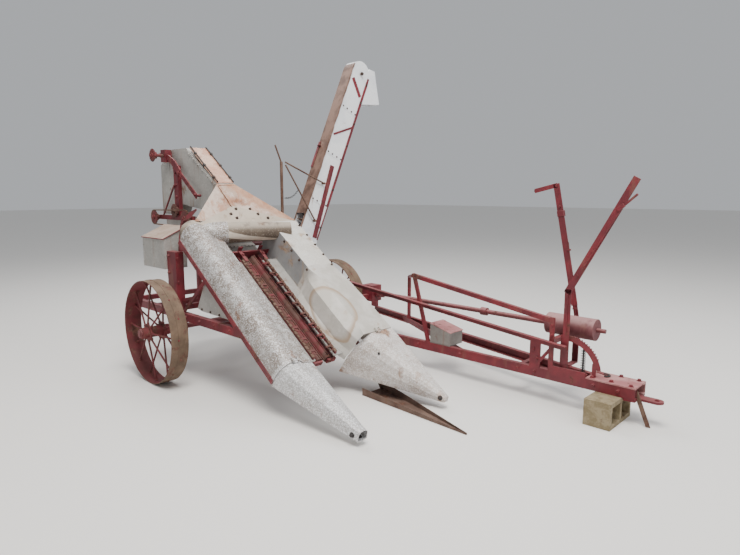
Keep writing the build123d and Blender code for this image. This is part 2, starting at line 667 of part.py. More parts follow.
def drive_frame():
    """The red bracket, upright, curved arm and drilled bar of the drive on the elevator's right side."""
    y = ELEVATOR_Y
    upright = brick((-786, -700), (y - 40, y), (1400, 1935))
    bracket = brick((-985, -880), (y - 70, y), (1975, 2100))
    arm = side_plate([(-1040, 2075), (-1040, 2030), (-860, 1990), (-790, 1950), (-660, 1835), (-610, 1885),
                      (-720, 1985), (-860, 2050)], (y - 60, y - 44))
    seat = brick((-760, -700), (y - 60, y), (1900, 1935))
    beam = brick((-1175, -430), (y - 55, y - 15), (1385, 1430))
    slant = bar((-640, y - 50, 1862), (-314, y - 50, 1621), 10, 46)
    stand = rod((-330, y - 50, 1634), (-330, y, 1634), 12)
    rear = rod((-767, y - 48, 1740), (-1050, y - 48, 1407), 9)
    frame = joined([upright, bracket, arm, seat, beam, slant, stand, rear])
    for hole in range(5):
        share = 0.16 + 0.16 * hole
        x, z = -640 + 326 * share, 1862 - 241 * share
        frame -= rod((x, y - 70, z), (x, y - 42, z), 9)
    for x, z, _, end_y in DRIVE_SHAFTS:
        frame -= rod((x, end_y - 10, z), (x, y + 5, z), DRIVE_SHAFT_RADIUS)
    return frame


def drive_sprockets():
    """The sprockets and shafts on the right side of the elevator."""
    pieces = []
    for x, z, r, end_y in DRIVE_SHAFTS:
        pieces.append(rod((x, end_y, z), (x, ELEVATOR_Y - (0 if z > 1440 else 15), z), DRIVE_SHAFT_RADIUS)
                      + rod((x, end_y + 10, z), (x, end_y + 22, z), r))
    return pieces


def husking_bed():
    """The husking bed's open box, across the machine from the elevator to the wagon elevator."""
    right, left = ELEVATOR_Y + 10, 2000
    outline = [(right, 1430), (right, 1210), (left, 1040), (left, 1200)]
    outer = front_plate(outline, (-1090, BED_FRONT_X))
    inner = front_plate([(right + 6, 1500), (right + 6, 1218), (left - 6, 1048), (left - 6, 1300)],
                        (-1084, BED_FRONT_X - 6))
    mouth = brick((-660, -521), (left - 20, left + 5), (1150, 1300))
    return outer - inner - mouth - joined(husking_journals())


def husking_journals():
    """The thin shafts at the rolls' ends, which lie in the bed's end walls."""
    return [rod((x, 760, 1292.5), (x, 2005, 1115.1), 10) for x in HUSKING_X]


def husking_rolls():
    """The husking rolls in the bed, each with its two end shafts."""
    pieces = []
    for x, journal in zip(HUSKING_X, husking_journals()):
        pieces.append(rod((x, 785, 1289), (x, 1980, 1118.7), 30) + journal)
    return pieces


def bed_legs():
    """The four legs that carry the husking bed on the frame's cross members."""
    legs = []
    for x in BED_LEG_X:
        for y in (800, RAIL_LEFT_Y + 5):
            legs.append(brick((x + 5, x + 45), (y, y + 40), (RAIL_TOP - 10 if y == 800 else RAIL_TOP, 1300)))
    outline = [(700, 1500), (700, 1210 + 70 / 1230 * 170), (2100, 1040 - 100 / 1230 * 170), (2100, 1500)]
    bed = front_plate(outline, (-1300, -300))
    return [leg - bed for leg in legs]


# Wagon elevator


def wagon_frame():
    """The plane of the wagon elevator: x runs up the elevator and y goes to its underside."""
    a = radians(WAGON_ANGLE)
    return Plane(origin=(WAGON_FRONT_X, WAGON_PIVOT[0], WAGON_PIVOT[1]),
                 x_dir=(0, cos(a), sin(a)), z_dir=(-1, 0, 0))


def wagon_trough():
    """The wagon elevator's housing: deep side walls, a floor and a cover that starts above its foot."""
    plane = wagon_frame()
    half = WAGON_DEEP / 2
    form = Pos(WAGON_REACH / 2, 0) * Rectangle(WAGON_REACH, WAGON_DEEP)
    form += Pos(WAGON_REACH, 0) * Circle(half)
    outer = extrude(plane * form, amount=WAGON_WIDE)
    hollow = Pos(WAGON_REACH / 2, 0) * Rectangle(WAGON_REACH + 20, WAGON_DEEP - 2 * SHEET)
    hollow += Pos(WAGON_REACH, 0) * Circle(half - SHEET)
    hollow += Pos(WAGON_OPEN / 2, -half) * Rectangle(WAGON_OPEN, 20)
    hollow += Pos(WAGON_REACH - 40, half) * Rectangle(230, 20)
    inner = extrude(plane.offset(SHEET) * hollow, amount=WAGON_WIDE - 2 * SHEET)
    bores = [Pos(0, 0) * Circle(16.05), Pos(WAGON_REACH, 0) * Circle(14.05)]
    holes = joined([extrude(plane.offset(-5) * bore, amount=WAGON_WIDE + 10) for bore in bores])
    return outer - inner - holes


def wagon_rails():
    """The red angle along the front wall's lower edge, the strap and the lower angle."""
    plane = wagon_frame().offset(-6)
    half = WAGON_DEEP / 2
    edge = Pos(2040, half - 14) * Rectangle(700, 28) + Pos(940, half - 8) * Rectangle(1500, 16)
    strap = Pos(1594, 16) * Rot(0, 0, 48) * Rectangle(350, 24)
    upper = Pos(2186, 0) * Rot(0, 0, 128) * Rectangle(250, 44)
    lower = Pos(660, 58) * Rot(0, 0, -5) * Rectangle(920, 64)
    return extrude(plane * (edge + strap + upper + lower), amount=6)


def wagon_chain():
    """The elevator's chain round its two sprockets, with a flight on every few links."""
    plane = wagon_frame().offset(WAGON_WIDE / 2)
    r = 75
    loop = Pos(WAGON_REACH / 2, 0) * Rectangle(WAGON_REACH, 2 * r)
    loop += Circle(r) + Pos(WAGON_REACH, 0) * Circle(r)
    inner = Pos(WAGON_REACH / 2, 0) * Rectangle(WAGON_REACH, 2 * r - 20)
    inner += Circle(r - 10) + Pos(WAGON_REACH, 0) * Circle(r - 10)
    chain = extrude(plane * (loop - inner), amount=9, both=True)
    for side in (-1, 1):
        for flight in range(10):
            place = Pos(120 + flight * (WAGON_REACH - 260) / 9, side * (r + 26)) * Rectangle(6, 56)
            chain += extrude(plane * place, amount=66, both=True)
    return chain


def wagon_shafts():
    """The head shaft with its sprocket; it turns in the trough's side walls."""
    plane = wagon_frame().offset(-24)
    shaft = extrude(plane * Pos(WAGON_REACH, 0) * Circle(14), amount=WAGON_WIDE + 48)
    middle = wagon_frame().offset(WAGON_WIDE / 2 - 5)
    return shaft + extrude(middle * Pos(WAGON_REACH, 0) * Circle(66), amount=10)


def wagon_spout():
    """The pale discharge spout that hangs on the low side of the elevator's head."""
    head = (wagon_frame() * Pos(WAGON_REACH, 0)).position
    form = [(3, -370), (339, -339), (253, 66), (163, 81), (43, -144)]
    hollow = [(-7, -454), (351, -419), (247, 60), (163, 75), (33, -144)]
    outline = [(head.Y + across, head.Z + up) for across, up in form]
    inner = [(head.Y + across, head.Z + up) for across, up in hollow]
    x = (WAGON_FRONT_X - WAGON_WIDE, WAGON_FRONT_X)
    form = Pos(WAGON_REACH / 2, 0) * Rectangle(WAGON_REACH, WAGON_DEEP)
    form += Pos(WAGON_REACH, 0) * Circle(WAGON_DEEP / 2)
    trough = extrude(wagon_frame().offset(-5) * form, amount=WAGON_WIDE + 10)
    return front_plate(outline, x) - front_plate(inner, (x[0] + SHEET, x[1] - SHEET)) - trough


def wagon_bracket():
    """The two arms on the left rail that carry the elevator's foot shaft, and that shaft."""
    y, z = WAGON_PIVOT
    left = RAIL_LEFT_Y + RAIL_WIDE
    pieces = []
    front, rear = WAGON_FRONT_X + 10, WAGON_FRONT_X - WAGON_WIDE - 22
    for x in (front, rear):
        pieces.append(front_plate([(left, 535), (left, 600), (y - 20, z + 34), (y + 34, z + 10),
                                   (y + 20, z - 36)], (x, x + 12)))
    shaft = rod((rear - 10, y, z), (front + 22, y, z), 16)
    return joined(pieces) + shaft


def stay_post():
    """The pipe post on the bed's side that the wagon elevator's stays pull on."""
    x, y = BED_FRONT_X + 17, STAY_POST_Y
    clamp = brick((BED_FRONT_X, x), (y - 25, y + 25), (1110, 1160))
    pipe = rod((x, y, 1110), (x, y, 2010), 17)
    handle = rod((x, y, 2000), (x, y - 80, 2190), 9)
    return clamp + pipe + handle


def wagon_stays():
    """The stay rods on the elevator's front wall, which reach back to the post."""
    x = WAGON_FRONT_X + STAY_STAND_OFF
    pieces = []
    for start, end in (((1902, 2005), (2480, 1775)), ((1904, 1975), (2330, 1330))):
        stay = rod((x, *start), (x, *end), STAY_RADIUS)
        pieces.append(stay + rod((WAGON_FRONT_X, *end), (x + STAY_RADIUS + 4, *end), STAY_RADIUS + 5))
    return pieces


# Tongue


def far_rail_y(x):
    """The Y of the tongue's far rail at a value of X."""
    share = (x - FAR_REAR[0]) / (FAR_FRONT[0] - FAR_REAR[0])
    return FAR_REAR[1] + share * (FAR_FRONT[1] - FAR_REAR[1])


def tongue_near_rail():
    """The tongue's near channel with its hanger under the axle."""
    middle = TONGUE_BOTTOM + TONGUE_HIGH / 2
    rail = channel_bar((-60, TONGUE_Y, middle), (TONGUE_FRONT, TONGUE_Y, middle),
                       TONGUE_WIDE, TONGUE_HIGH, TONGUE_WALL, (0, 1, 0))
    rail += brick((-45, 45), (TONGUE_Y, TONGUE_Y + TONGUE_WIDE), (TONGUE_TOP, WHEEL_RADIUS + 45))
    return rail - rod((0, 1900, WHEEL_RADIUS), (0, 2100, WHEEL_RADIUS), AXLE_RADIUS)


def tongue_far_rail():
    """The tongue's far channel, which spreads back past the left wheel to the axle's end."""
    middle = TONGUE_BOTTOM + TONGUE_HIGH / 2
    start, end = (*FAR_REAR, middle), (*FAR_FRONT, middle)
    way = Vector(*end) - Vector(*start)
    side = Vector(-way.Y, way.X, 0).normalized()
    rail = channel_bar(start, end, TONGUE_WIDE, TONGUE_HIGH, TONGUE_WALL, tuple(-side))
    rail += brick((-45, 45), (2868, 2900), (TONGUE_TOP, WHEEL_RADIUS + 45))
    return rail - rod((0, 2800, WHEEL_RADIUS), (0, 3000, WHEEL_RADIUS), AXLE_RADIUS)


def tongue_braces():
    """The long oblique brace and the short cross pieces between the tongue's rails."""
    middle = TONGUE_BOTTOM + TONGUE_HIGH / 2
    near = TONGUE_Y + TONGUE_WALL
    start, end = oblique_ends()
    pieces = [bar((*start, middle), (*end, middle), 10, TONGUE_HIGH - 20, (0, 1, 0))]
    for x in (2460, 2960):
        reach = far_rail_y(x + 40) - TONGUE_WALL - 0.3
        pieces.append(brick((x, x + 40), (near, reach), (TONGUE_BOTTOM + 10, TONGUE_TOP - 10)))
    return pieces


def oblique_ends():
    """Where the oblique brace meets the webs of the near and the far rail, in X and Y."""
    return (1990, TONGUE_Y + TONGUE_WALL + 5), (560, far_rail_y(560) - TONGUE_WALL - 6)


def nose_plate():
    """The plate over the front of the tongue, with the short far channel below it."""
    y = (TONGUE_Y - 4, TONGUE_Y - 4 + NOSE_WIDE)
    top = brick((NOSE_REAR, TONGUE_FRONT), y, (TONGUE_TOP, TONGUE_TOP + NOSE_THICK))
    far = TONGUE_Y + NOSE_WIDE - 6
    middle = TONGUE_BOTTOM + TONGUE_HIGH / 2
    side = channel_bar((BLOCK_X - 60, far, middle), (TONGUE_FRONT, far, middle),
                       TONGUE_WIDE, TONGUE_HIGH, TONGUE_WALL, (0, -1, 0))
    return top + side


def hitch_plate():
    """The drawn plate under the nose, bored for the hitch pin."""
    middle = TONGUE_Y + NOSE_WIDE / 2
    z = (TONGUE_BOTTOM - 16, TONGUE_BOTTOM)
    half = HITCH_WIDE / 2
    rear = BLOCK_X + BLOCK[0] / 2 + 6
    plate = brick((rear, TONGUE_FRONT), (TONGUE_Y + 2, TONGUE_Y + NOSE_WIDE - 6), z)
    plate -= brick((rear + 28, TONGUE_FRONT + 1), (TONGUE_Y + TONGUE_WIDE + 2, middle - half), z)
    plate += brick((rear, HITCH_X), (middle - half, middle + half), z)
    plate += Pos(HITCH_X, middle, (z[0] + z[1]) / 2) * Cylinder(half, z[1] - z[0])
    return plate - Pos(HITCH_X, middle, z[0]) * Cylinder(HITCH_BORE, 200)


def truss():
    """The posts, cross piece and upper bar that stand over the tongue."""
    y = TONGUE_Y + 12
    near = bar((1530, y, TONGUE_TOP + 6), (1350, y, 900), 24, 34)
    foot = brick((1500, 1560), (TONGUE_Y, TONGUE_Y + 40), (TONGUE_TOP, TONGUE_TOP + 10))
    start, end = oblique_ends()
    share = (start[0] - 730) / (start[0] - end[0])
    far_y = start[1] + share * (end[1] - start[1])
    far = brick((714, 746), (far_y - 16, far_y + 10), (TONGUE_TOP - 10, 745))
    cross = bar((1352, y, 885), (730, far_y, 740), 30, 30, (1, 1, 0))
    upper = angle_bar((1330, y - 10, 905), (2745, y - 10, 691), 38, 6, (0, 1, 0), -1)
    upright = brick((2735, 2775), (TONGUE_Y, y), (TONGUE_TOP, 700))
    return joined([near, foot, far, cross, upper - upright])


def lift_bar():
    """The long angle that links the lever stand to the frame, with its bracket on the frame."""
    start, end = (500, 1986, 745), (2885, 1986, 498)
    link = angle_bar(start, end, 44, 6, (0, -1, 0), 1)
    return link


def lift_bracket():
    """The arm on the left rail that holds the lift bar's rear end."""
    left = RAIL_LEFT_Y
    upright = brick((480, 540), (left, left + 12), (RAIL_TOP, 770))
    arm = brick((480, 540), (left + 12, 1942), (700, 712))
    end = brick((480, 540), (1932, 1942), (712, 760))
    return joined([upright, arm, end])


def lever_stand():
    """The uprights, base bar and shield carrier on the tongue."""
    y = (TONGUE_Y, TONGUE_Y + 12)
    pieces = [brick((2740, 3036), (TONGUE_Y, TONGUE_Y + 14), (TONGUE_TOP, TONGUE_TOP + 40)),
              brick((2575, 2665), y, (TONGUE_TOP, 480)),
              bar((2625, TONGUE_Y + 6, 285), (2755, TONGUE_Y + 6, 455), 10, 24),
              brick((2735, 2775), y, (TONGUE_TOP, 700)),
              rod((2755, TONGUE_Y - 4, 488), (2755, TONGUE_Y, 488), 10)]
    return joined(pieces)


def shield_carrier():
    """The saddle between the tongue's rails that carries the drive shaft's shield."""
    low = SHAFT_Z - SHIELD_RADIUS
    far = far_rail_y(2755)
    saddle = brick((2735, 2775), (TONGUE_Y + 12, far), (low - 24, low + 14))
    saddle += brick((2735, 2775), (far - 40, far), (TONGUE_TOP, low))
    tube = rod((2700, SHAFT_Y, SHAFT_Z), (2900, SHAFT_Y, SHAFT_Z), SHIELD_RADIUS)
    return saddle - tube


def quadrant():
    """The notched quadrant that holds the height lever."""
    x, z = HEIGHT_PIVOT
    plane = Plane(origin=(x, HEIGHT_Y + LEVER_THICK + 2, z), x_dir=(1, 0, 0), z_dir=(0, -1, 0))
    ring = Circle(QUADRANT_RADIUS) - Circle(QUADRANT_RADIUS - QUADRANT_WIDE)
    sector = make_face(Polyline((0, 0), (330, 60), (330, 330), (-60, 330), close=True))
    arc = extrude(plane * (ring & sector), amount=-8)
    leg = brick((x + 205, x + 235), (HEIGHT_Y + LEVER_THICK + 2, HEIGHT_Y + LEVER_THICK + 10),
                (TONGUE_TOP + NOSE_THICK, z + 90))
    rear = brick((x - 50, x - 20), (HEIGHT_Y + LEVER_THICK + 2, HEIGHT_Y + LEVER_THICK + 10),
                 (TONGUE_TOP, z + QUADRANT_RADIUS - 12))
    return arc + leg + rear


def height_lever():
    """The long bent flat lever that leans forward, with its latch."""
    y = HEIGHT_Y + LEVER_THICK / 2
    x, z = HEIGHT_PIVOT
    lower = bar((x, y, z), (HEIGHT_BEND[0], y, HEIGHT_BEND[1]), LEVER_THICK, LEVER_WIDE)
    lower += rod((x, HEIGHT_Y, z), (x, HEIGHT_Y + LEVER_THICK, z), LEVER_WIDE / 2)
    upper = bar((HEIGHT_BEND[0] - 4, y, HEIGHT_BEND[1] - 14), (HEIGHT_TOP[0], y, HEIGHT_TOP[1]),
                LEVER_THICK, LEVER_WIDE)
    hole = rod((x, y - 40, z), (x, y + 40, z), 10.05)
    return lower + upper - hole


def height_pin():
    """The pin that the height lever turns on, in a lug on the tongue."""
    x, z = HEIGHT_PIVOT
    pin = rod((x, TONGUE_Y + 2, z), (x, HEIGHT_Y + LEVER_THICK + 4, z), 10)
    return pin


def lift_lever():
    """The tall flat lever that leans back, with the link at its top."""
    y = LIFT_Y + LEVER_THICK / 2
    x, z = LIFT_PIVOT
    blade = bar((x, y, z), (LIFT_TOP[0], y, LIFT_TOP[1]), LEVER_THICK, LEVER_WIDE)
    blade += rod((x, LIFT_Y, z), (x, LIFT_Y + LEVER_THICK, z), LEVER_WIDE / 2)
    link = bar((LIFT_TOP[0] + 2, y, LIFT_TOP[1] - 14), (LIFT_TOP[0] - 190, y, LIFT_TOP[1] - 60),
               LEVER_THICK, 26)
    hole = rod((x, y - 40, z), (x, y + 40, z), 10.05)
    return blade + link - hole


def lift_stand():
    """The far upright and pin that the lift lever turns on."""
    x, z = LIFT_PIVOT
    upright = brick((x - 25, x + 25), (LIFT_Y - 16, LIFT_Y - 4), (TONGUE_TOP, z + 30))
    foot = brick((x - 25, x + 25), (far_rail_y(x) - 40, LIFT_Y - 4), (TONGUE_TOP, TONGUE_TOP + 10))
    return upright + foot + rod((x, LIFT_Y - 4, z), (x, LIFT_Y + LEVER_THICK + 6, z), 10)


def drive_shaft():
    """The drive shaft: the tubes, a collar at each joint and a stub that a yoke slides on."""
    rear, joint, front = SHAFT_JOINTS[0] - 20, SHAFT_JOINTS, SHIELD[1] - 25
    first = rod((rear, SHAFT_Y, SHAFT_Z), (joint[0] + JOINT_LONG, SHAFT_Y, SHAFT_Z), JOURNAL_RADIUS)
    first += rod((joint[0], SHAFT_Y, SHAFT_Z), (joint[0] + JOINT_LONG, SHAFT_Y, SHAFT_Z), JOINT_RADIUS)
    tube = rod((joint[0] + JOINT_LONG, SHAFT_Y, SHAFT_Z), (joint[1], SHAFT_Y, SHAFT_Z), SHAFT_RADIUS)
    second = rod((joint[1], SHAFT_Y, SHAFT_Z), (joint[1] + JOINT_LONG, SHAFT_Y, SHAFT_Z), JOINT_RADIUS)
    stub = rod((joint[1] + JOINT_LONG, SHAFT_Y, SHAFT_Z), (front, SHAFT_Y, SHAFT_Z), SHAFT_RADIUS)
    stub += rod((front, SHAFT_Y, SHAFT_Z), (STUB[0], SHAFT_Y, SHAFT_Z), JOURNAL_RADIUS)
    stub += rod((STUB[0], SHAFT_Y, SHAFT_Z), (STUB[1], SHAFT_Y, SHAFT_Z), STUB_RADIUS)
    return [first, tube, second, stub]


def shield():
    """The faded sheet hood round the drive shaft's front bearing."""
    tube = rod((SHIELD[0], SHAFT_Y, SHAFT_Z), (SHIELD[1], SHAFT_Y, SHAFT_Z), SHIELD_RADIUS,
               SHIELD_RADIUS - SHEET)
    face = rod((SHIELD[1] - 12, SHAFT_Y, SHAFT_Z), (SHIELD[1], SHAFT_Y, SHAFT_Z),
               SHIELD_RADIUS, JOURNAL_RADIUS + AXLE_CLEARANCE)
    return tube + face


def gearbox():
    """The closed gear case at the drive shaft's rear end, as one plain block, and its arm."""
    case = brick((500, 650), (2160, 2300), (515, 685))
    boss = rod((650, SHAFT_Y, SHAFT_Z), (672, SHAFT_Y, SHAFT_Z), 40)
    arm = brick((560, 600), (RAIL_LEFT_Y + RAIL_WIDE, 2160), (540, 590))
    return joined([case, boss, arm])


def toolbox():
    """The grey toolbox on the tongue, higher at its back, with the hinge pin of its lid."""
    outline = [(1560, TONGUE_TOP), (1780, TONGUE_TOP), (1780, 400), (1560, 455)]
    outer = side_plate(outline, (TONGUE_Y + 4, TONGUE_Y + 204))
    inner = side_plate([(1563, TONGUE_TOP + 3), (1777, TONGUE_TOP + 3), (1777, 520), (1563, 520)],
                       (TONGUE_Y + 7, TONGUE_Y + 201))
    x, z = BOX_HINGE
    pin = rod((x, TONGUE_Y + 20, z), (x, TONGUE_Y + 188, z), LID_PIN)
    for near in (TONGUE_Y + 20, TONGUE_Y + 178):
        pin += brick((x - 5, 1562), (near, near + 10), (z - 5, z + 4))
    return outer - inner + pin


def toolbox_lid():
    """The toolbox's faded lid, hinged along its high rear edge."""
    x, z = BOX_HINGE
    outline = [(x + 8, 457.2), (1790, 397.5), (1790, 401.5), (x + 8, 461.2)]
    lid = side_plate(outline, (TONGUE_Y + 2, TONGUE_Y + 208))
    low, high = TONGUE_Y + 34, TONGUE_Y + 174
    eye = rod((x, low, z), (x, high, z), LID_PIN + 4)
    eye += brick((x, x + 12), (low, high), (z + 3, z + 8))
    return lid + eye - rod((x, low - 5, z), (x, high + 5, z), LID_PIN + AXLE_CLEARANCE)


def stand_leg():
    """The flat prop leg that hangs from the nose to the ground."""
    y = (2044, 2052)
    leg = side_plate([(3366, 250), (3400, 250), (3500, 3), (3468, 3)], y)
    return leg - rod((3390, 2000, 230), (3390, 2200, 230), 6.05)


def leg_pin():
    """The pin that the prop leg hangs on, with its lug on the near rail."""
    lug = brick((3378, 3398), (TONGUE_Y + TONGUE_WIDE - 5, TONGUE_Y + TONGUE_WIDE), (210, TONGUE_TOP))
    return lug + rod((3390, TONGUE_Y + TONGUE_WIDE - 5, 230), (3390, 2056, 230), 6)


def concrete_block():
    """The two-cored concrete block, laid on its side under the tongue."""
    x = (BLOCK_X - BLOCK[0] / 2, BLOCK_X + BLOCK[0] / 2)
    y = (BLOCK_Y, BLOCK_Y + BLOCK[1])
    solid = brick(x, y, (0, BLOCK[2]))
    core = (BLOCK[1] - 3 * BLOCK_WALL) / 2
    for side in (0, 1):
        start = y[0] + BLOCK_WALL + side * (core + BLOCK_WALL)
        solid -= brick((x[0] - 1, x[1] + 1), (start, start + core), (BLOCK_WALL, BLOCK[2] - BLOCK_WALL))
    return solid


def rear_hitch():
    """The drawbar plate at the rear of the frame that the wagon is hitched to."""
    y = RAIL_LEFT_Y - 60
    low = RAIL_TOP - RAIL_HIGH + 10 - 20
    plate = brick((RAIL_REAR - 170, RAIL_REAR + 50), (y - 50, y + 50), (low, low + 20))
    return plate - Pos(RAIL_REAR - 130, y, low) * Cylinder(13, 80)


PARTS = {}


def collect():
    """Builds every sub-part at its place."""
    for name, y in (("right", 0.0), ("left", LEFT_WHEEL_Y)):
        PARTS[f"wheel_{name}_rim"] = wheel_rim(y)
        PARTS[f"wheel_{name}_hub"] = wheel_hub(y)
    PARTS["axle"] = axle()
    PARTS["main_frame"] = main_frame()
    PARTS["post_right"] = post(RAIL_RIGHT_Y - 15)
    PARTS["post_left"] = post(RAIL_LEFT_Y)
    PARTS["head_rails"] = joined([head_rails(), head_braces(), post_gusset()])
    PARTS["side_skirt"] = side_skirt()
    PARTS["outer_divider"] = outer_divider()
    PARTS["outer_snout"] = outer_snout()
    PARTS["inner_divider"] = inner_divider()
    PARTS["inner_snout"] = inner_snout()
    PARTS["cross_tube"] = Compound([cross_tube(), apron()])
    PARTS["hood"] = hood()
    PARTS["throat_walls"] = throat_walls()
    PARTS["first_elevator"] = first_elevator()
    PARTS["elevator_cover"] = elevator_cover()
    PARTS["roll_frame"] = roll_frame()
    PARTS["snapping_roll_right"] = snapping_roll(ROW_Y - ROLL_SPREAD)
    PARTS["snapping_roll_left"] = snapping_roll(ROW_Y + ROLL_SPREAD)
    PARTS["gathering_chain_right"] = gathering_chain(CHAIN_RIGHT_Y, 1)
    PARTS["gathering_chain_left"] = gathering_chain(CHAIN_LEFT_Y, -1)
    PARTS["chain_guides"] = chain_guides()
    PARTS["floor_shoe"] = floor_shoe()
    PARTS["shield_box"] = shield_box()
    PARTS["shield_box_lid"] = shield_box_lid()
    PARTS["drive_frame"] = drive_frame()
    PARTS["drive_sprockets"] = Compound(drive_sprockets())
    PARTS["husking_bed"] = husking_bed()
    PARTS["husking_rolls"] = Compound(husking_rolls())
    PARTS["bed_legs"] = Compound(bed_legs())
    PARTS["wagon_trough"] = wagon_trough()
    PARTS["wagon_rails"] = wagon_rails()
    PARTS["wagon_chain"] = wagon_chain() + wagon_shafts()
    PARTS["wagon_spout"] = wagon_spout()
    PARTS["wagon_bracket"] = wagon_bracket()
    PARTS["wagon_stays"] = Compound(wagon_stays())
    PARTS["stay_post"] = stay_post()
    PARTS["tongue_near_rail"] = tongue_near_rail() + leg_pin()
    PARTS["tongue_far_rail"] = tongue_far_rail()
    PARTS["tongue_braces"] = Compound(tongue_braces())
    PARTS["nose_plate"] = nose_plate()
    PARTS["hitch_plate"] = hitch_plate()
    PARTS["truss"] = truss()
    PARTS["lift_bar"] = lift_bar()
    PARTS["lever_stand"] = Compound([lever_stand() + height_pin() + shield_carrier(), lift_stand()])
    PARTS["quadrant"] = quadrant()
    PARTS["height_lever"] = height_lever()
    PARTS["lift_lever"] = lift_lever()
    PARTS["drive_shaft"] = Compound(drive_shaft())
    PARTS["shaft_shield"] = shield()
    PARTS["gearbox"] = gearbox()
    PARTS["toolbox"] = toolbox()
    PARTS["toolbox_lid"] = toolbox_lid()
    PARTS["stand_leg"] = stand_leg()
    PARTS["concrete_block"] = concrete_block()
    PARTS["rear_hitch"] = rear_hitch()


collect()
WHOLE = Compound(list(PARTS.values())).bounding_box()
CENTRE_X = (WHOLE.min.X + WHOLE.max.X) / 2
CENTRE_Y = (WHOLE.min.Y + WHOLE.max.Y) / 2
os.makedirs("parts", exist_ok=True)
for name, shape in PARTS.items():
    export_step(Pos(-CENTRE_X, -CENTRE_Y, 0) * shape, f"parts/{name}.step")
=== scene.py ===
"""Dresses the corn picker: weathered finishes, fastenings, small fittings, floor, light and camera.

Places are written in the machine's own layout, in metres: X forward from the axle, Y to the left
from the right wheel's outer face and Z up from the ground.
"""
from __future__ import annotations

import json
import logging
import math
import random
from dataclasses import dataclass, field
from enum import Enum
from typing import Sequence

import bmesh
import bpy
from mathutils import Matrix, Vector

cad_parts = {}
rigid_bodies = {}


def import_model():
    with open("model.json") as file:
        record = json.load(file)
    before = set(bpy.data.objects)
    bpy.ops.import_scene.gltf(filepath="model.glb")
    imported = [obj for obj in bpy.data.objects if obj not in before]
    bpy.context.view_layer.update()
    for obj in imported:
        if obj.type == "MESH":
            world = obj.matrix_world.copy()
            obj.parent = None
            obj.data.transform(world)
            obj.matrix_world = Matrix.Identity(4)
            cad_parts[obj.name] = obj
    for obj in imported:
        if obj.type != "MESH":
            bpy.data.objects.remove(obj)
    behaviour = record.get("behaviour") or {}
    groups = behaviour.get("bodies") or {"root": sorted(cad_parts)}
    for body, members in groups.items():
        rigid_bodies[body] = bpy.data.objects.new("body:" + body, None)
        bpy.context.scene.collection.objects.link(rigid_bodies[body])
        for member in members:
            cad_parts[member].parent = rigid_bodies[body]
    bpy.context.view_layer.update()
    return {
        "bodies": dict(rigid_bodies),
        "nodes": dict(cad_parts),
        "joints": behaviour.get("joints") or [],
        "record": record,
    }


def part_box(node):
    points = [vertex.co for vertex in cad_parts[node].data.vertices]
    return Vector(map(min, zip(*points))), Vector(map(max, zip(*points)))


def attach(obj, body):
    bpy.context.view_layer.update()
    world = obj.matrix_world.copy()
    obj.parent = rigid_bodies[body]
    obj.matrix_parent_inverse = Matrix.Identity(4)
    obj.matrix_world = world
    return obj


LOG = logging.getLogger("corn_picker")

RIM_MIDDLE_Y = 0.076
CAMERA_PLACE = (4.673, -2.041, 1.656)
CAMERA_AZIMUTH = 44.0
CAMERA_DOWN = 8.606
CAMERA_LENS = 27.05
SENSOR_WIDTH = 36.0
FLOOR_COLOUR = (0.80, 0.78, 0.75, 1.0)
HEAD_SLOPE = math.radians(36.0)
HEAD_START = (0.060, 1.220)
WHEEL_RADIUS = 0.457
NEAR_RAIL_Y = 1.990
ALONG_X = (1.0, 0.0, 0.0)
ALONG_Y = (0.0, 1.0, 0.0)
FULL_TURN = 2 * math.pi

# Where nearly all values of a noise start, and how far they spread
NOISE_LOW = 0.19
NOISE_SPREAD = 0.62

# Shares of a bolt head's width
WASHER_FOOT = 0.78
WASHER_TOP = 0.72
HEAD_FOOT = 0.56
HEAD_TOP = 0.50
HEAD_HEIGHT = 0.5

# The washer's thickness, its middle and its outer face, in metres from its seat
WASHER_THICK = 0.003
WASHER_MIDDLE = 0.001
WASHER_FACE = 0.0025

# Shares of a chain's pitch and width
LINK_SHARE = 0.82
INNER_LINK_SHARE = 0.72

Colour = tuple[float, float, float]
Place = tuple[float, float, float]


class Layout:
    """Turns places in the machine's own layout into places in the row frame."""

    def __init__(self) -> None:
        """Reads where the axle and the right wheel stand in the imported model."""
        low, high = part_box("axle")
        rim_low, rim_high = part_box("wheel_right_rim")
        self.shift = Vector(((low[0] + high[0]) / 2, (rim_low[1] + rim_high[1]) / 2 - RIM_MIDDLE_Y, 0))
        self.down_head = self.on_head(1.0, 0.0, 0.0) - self.on_head(0.0, 0.0, 0.0)
        self.off_head = self.on_head(0.0, 0.0, 1.0) - self.on_head(0.0, 0.0, 0.0)

    def at(self, x: float, y: float, z: float) -> Vector:
        """The row-frame place of a layout place in metres."""
        return Vector((x, y, z)) + self.shift

    def on_head(self, along: float, y: float, rise: float) -> Vector:
        """A place on the gathering head.

        Args:
            along: Distance down the slope, in metres.
            y: Layout Y.
            rise: Height above the slope, square to it.

        Returns:
            The place in the row frame.
        """
        cos_a, sin_a = math.cos(HEAD_SLOPE), math.sin(HEAD_SLOPE)
        return self.at(HEAD_START[0] + along * cos_a + rise * sin_a, y,
                       HEAD_START[1] - along * sin_a + rise * cos_a)


class Axis(Enum):
    """The main directions that a fastening can face."""

    RIGHT = (0.0, -1.0, 0.0)
    FRONT = (1.0, 0.0, 0.0)
    UP = (0.0, 0.0, 1.0)


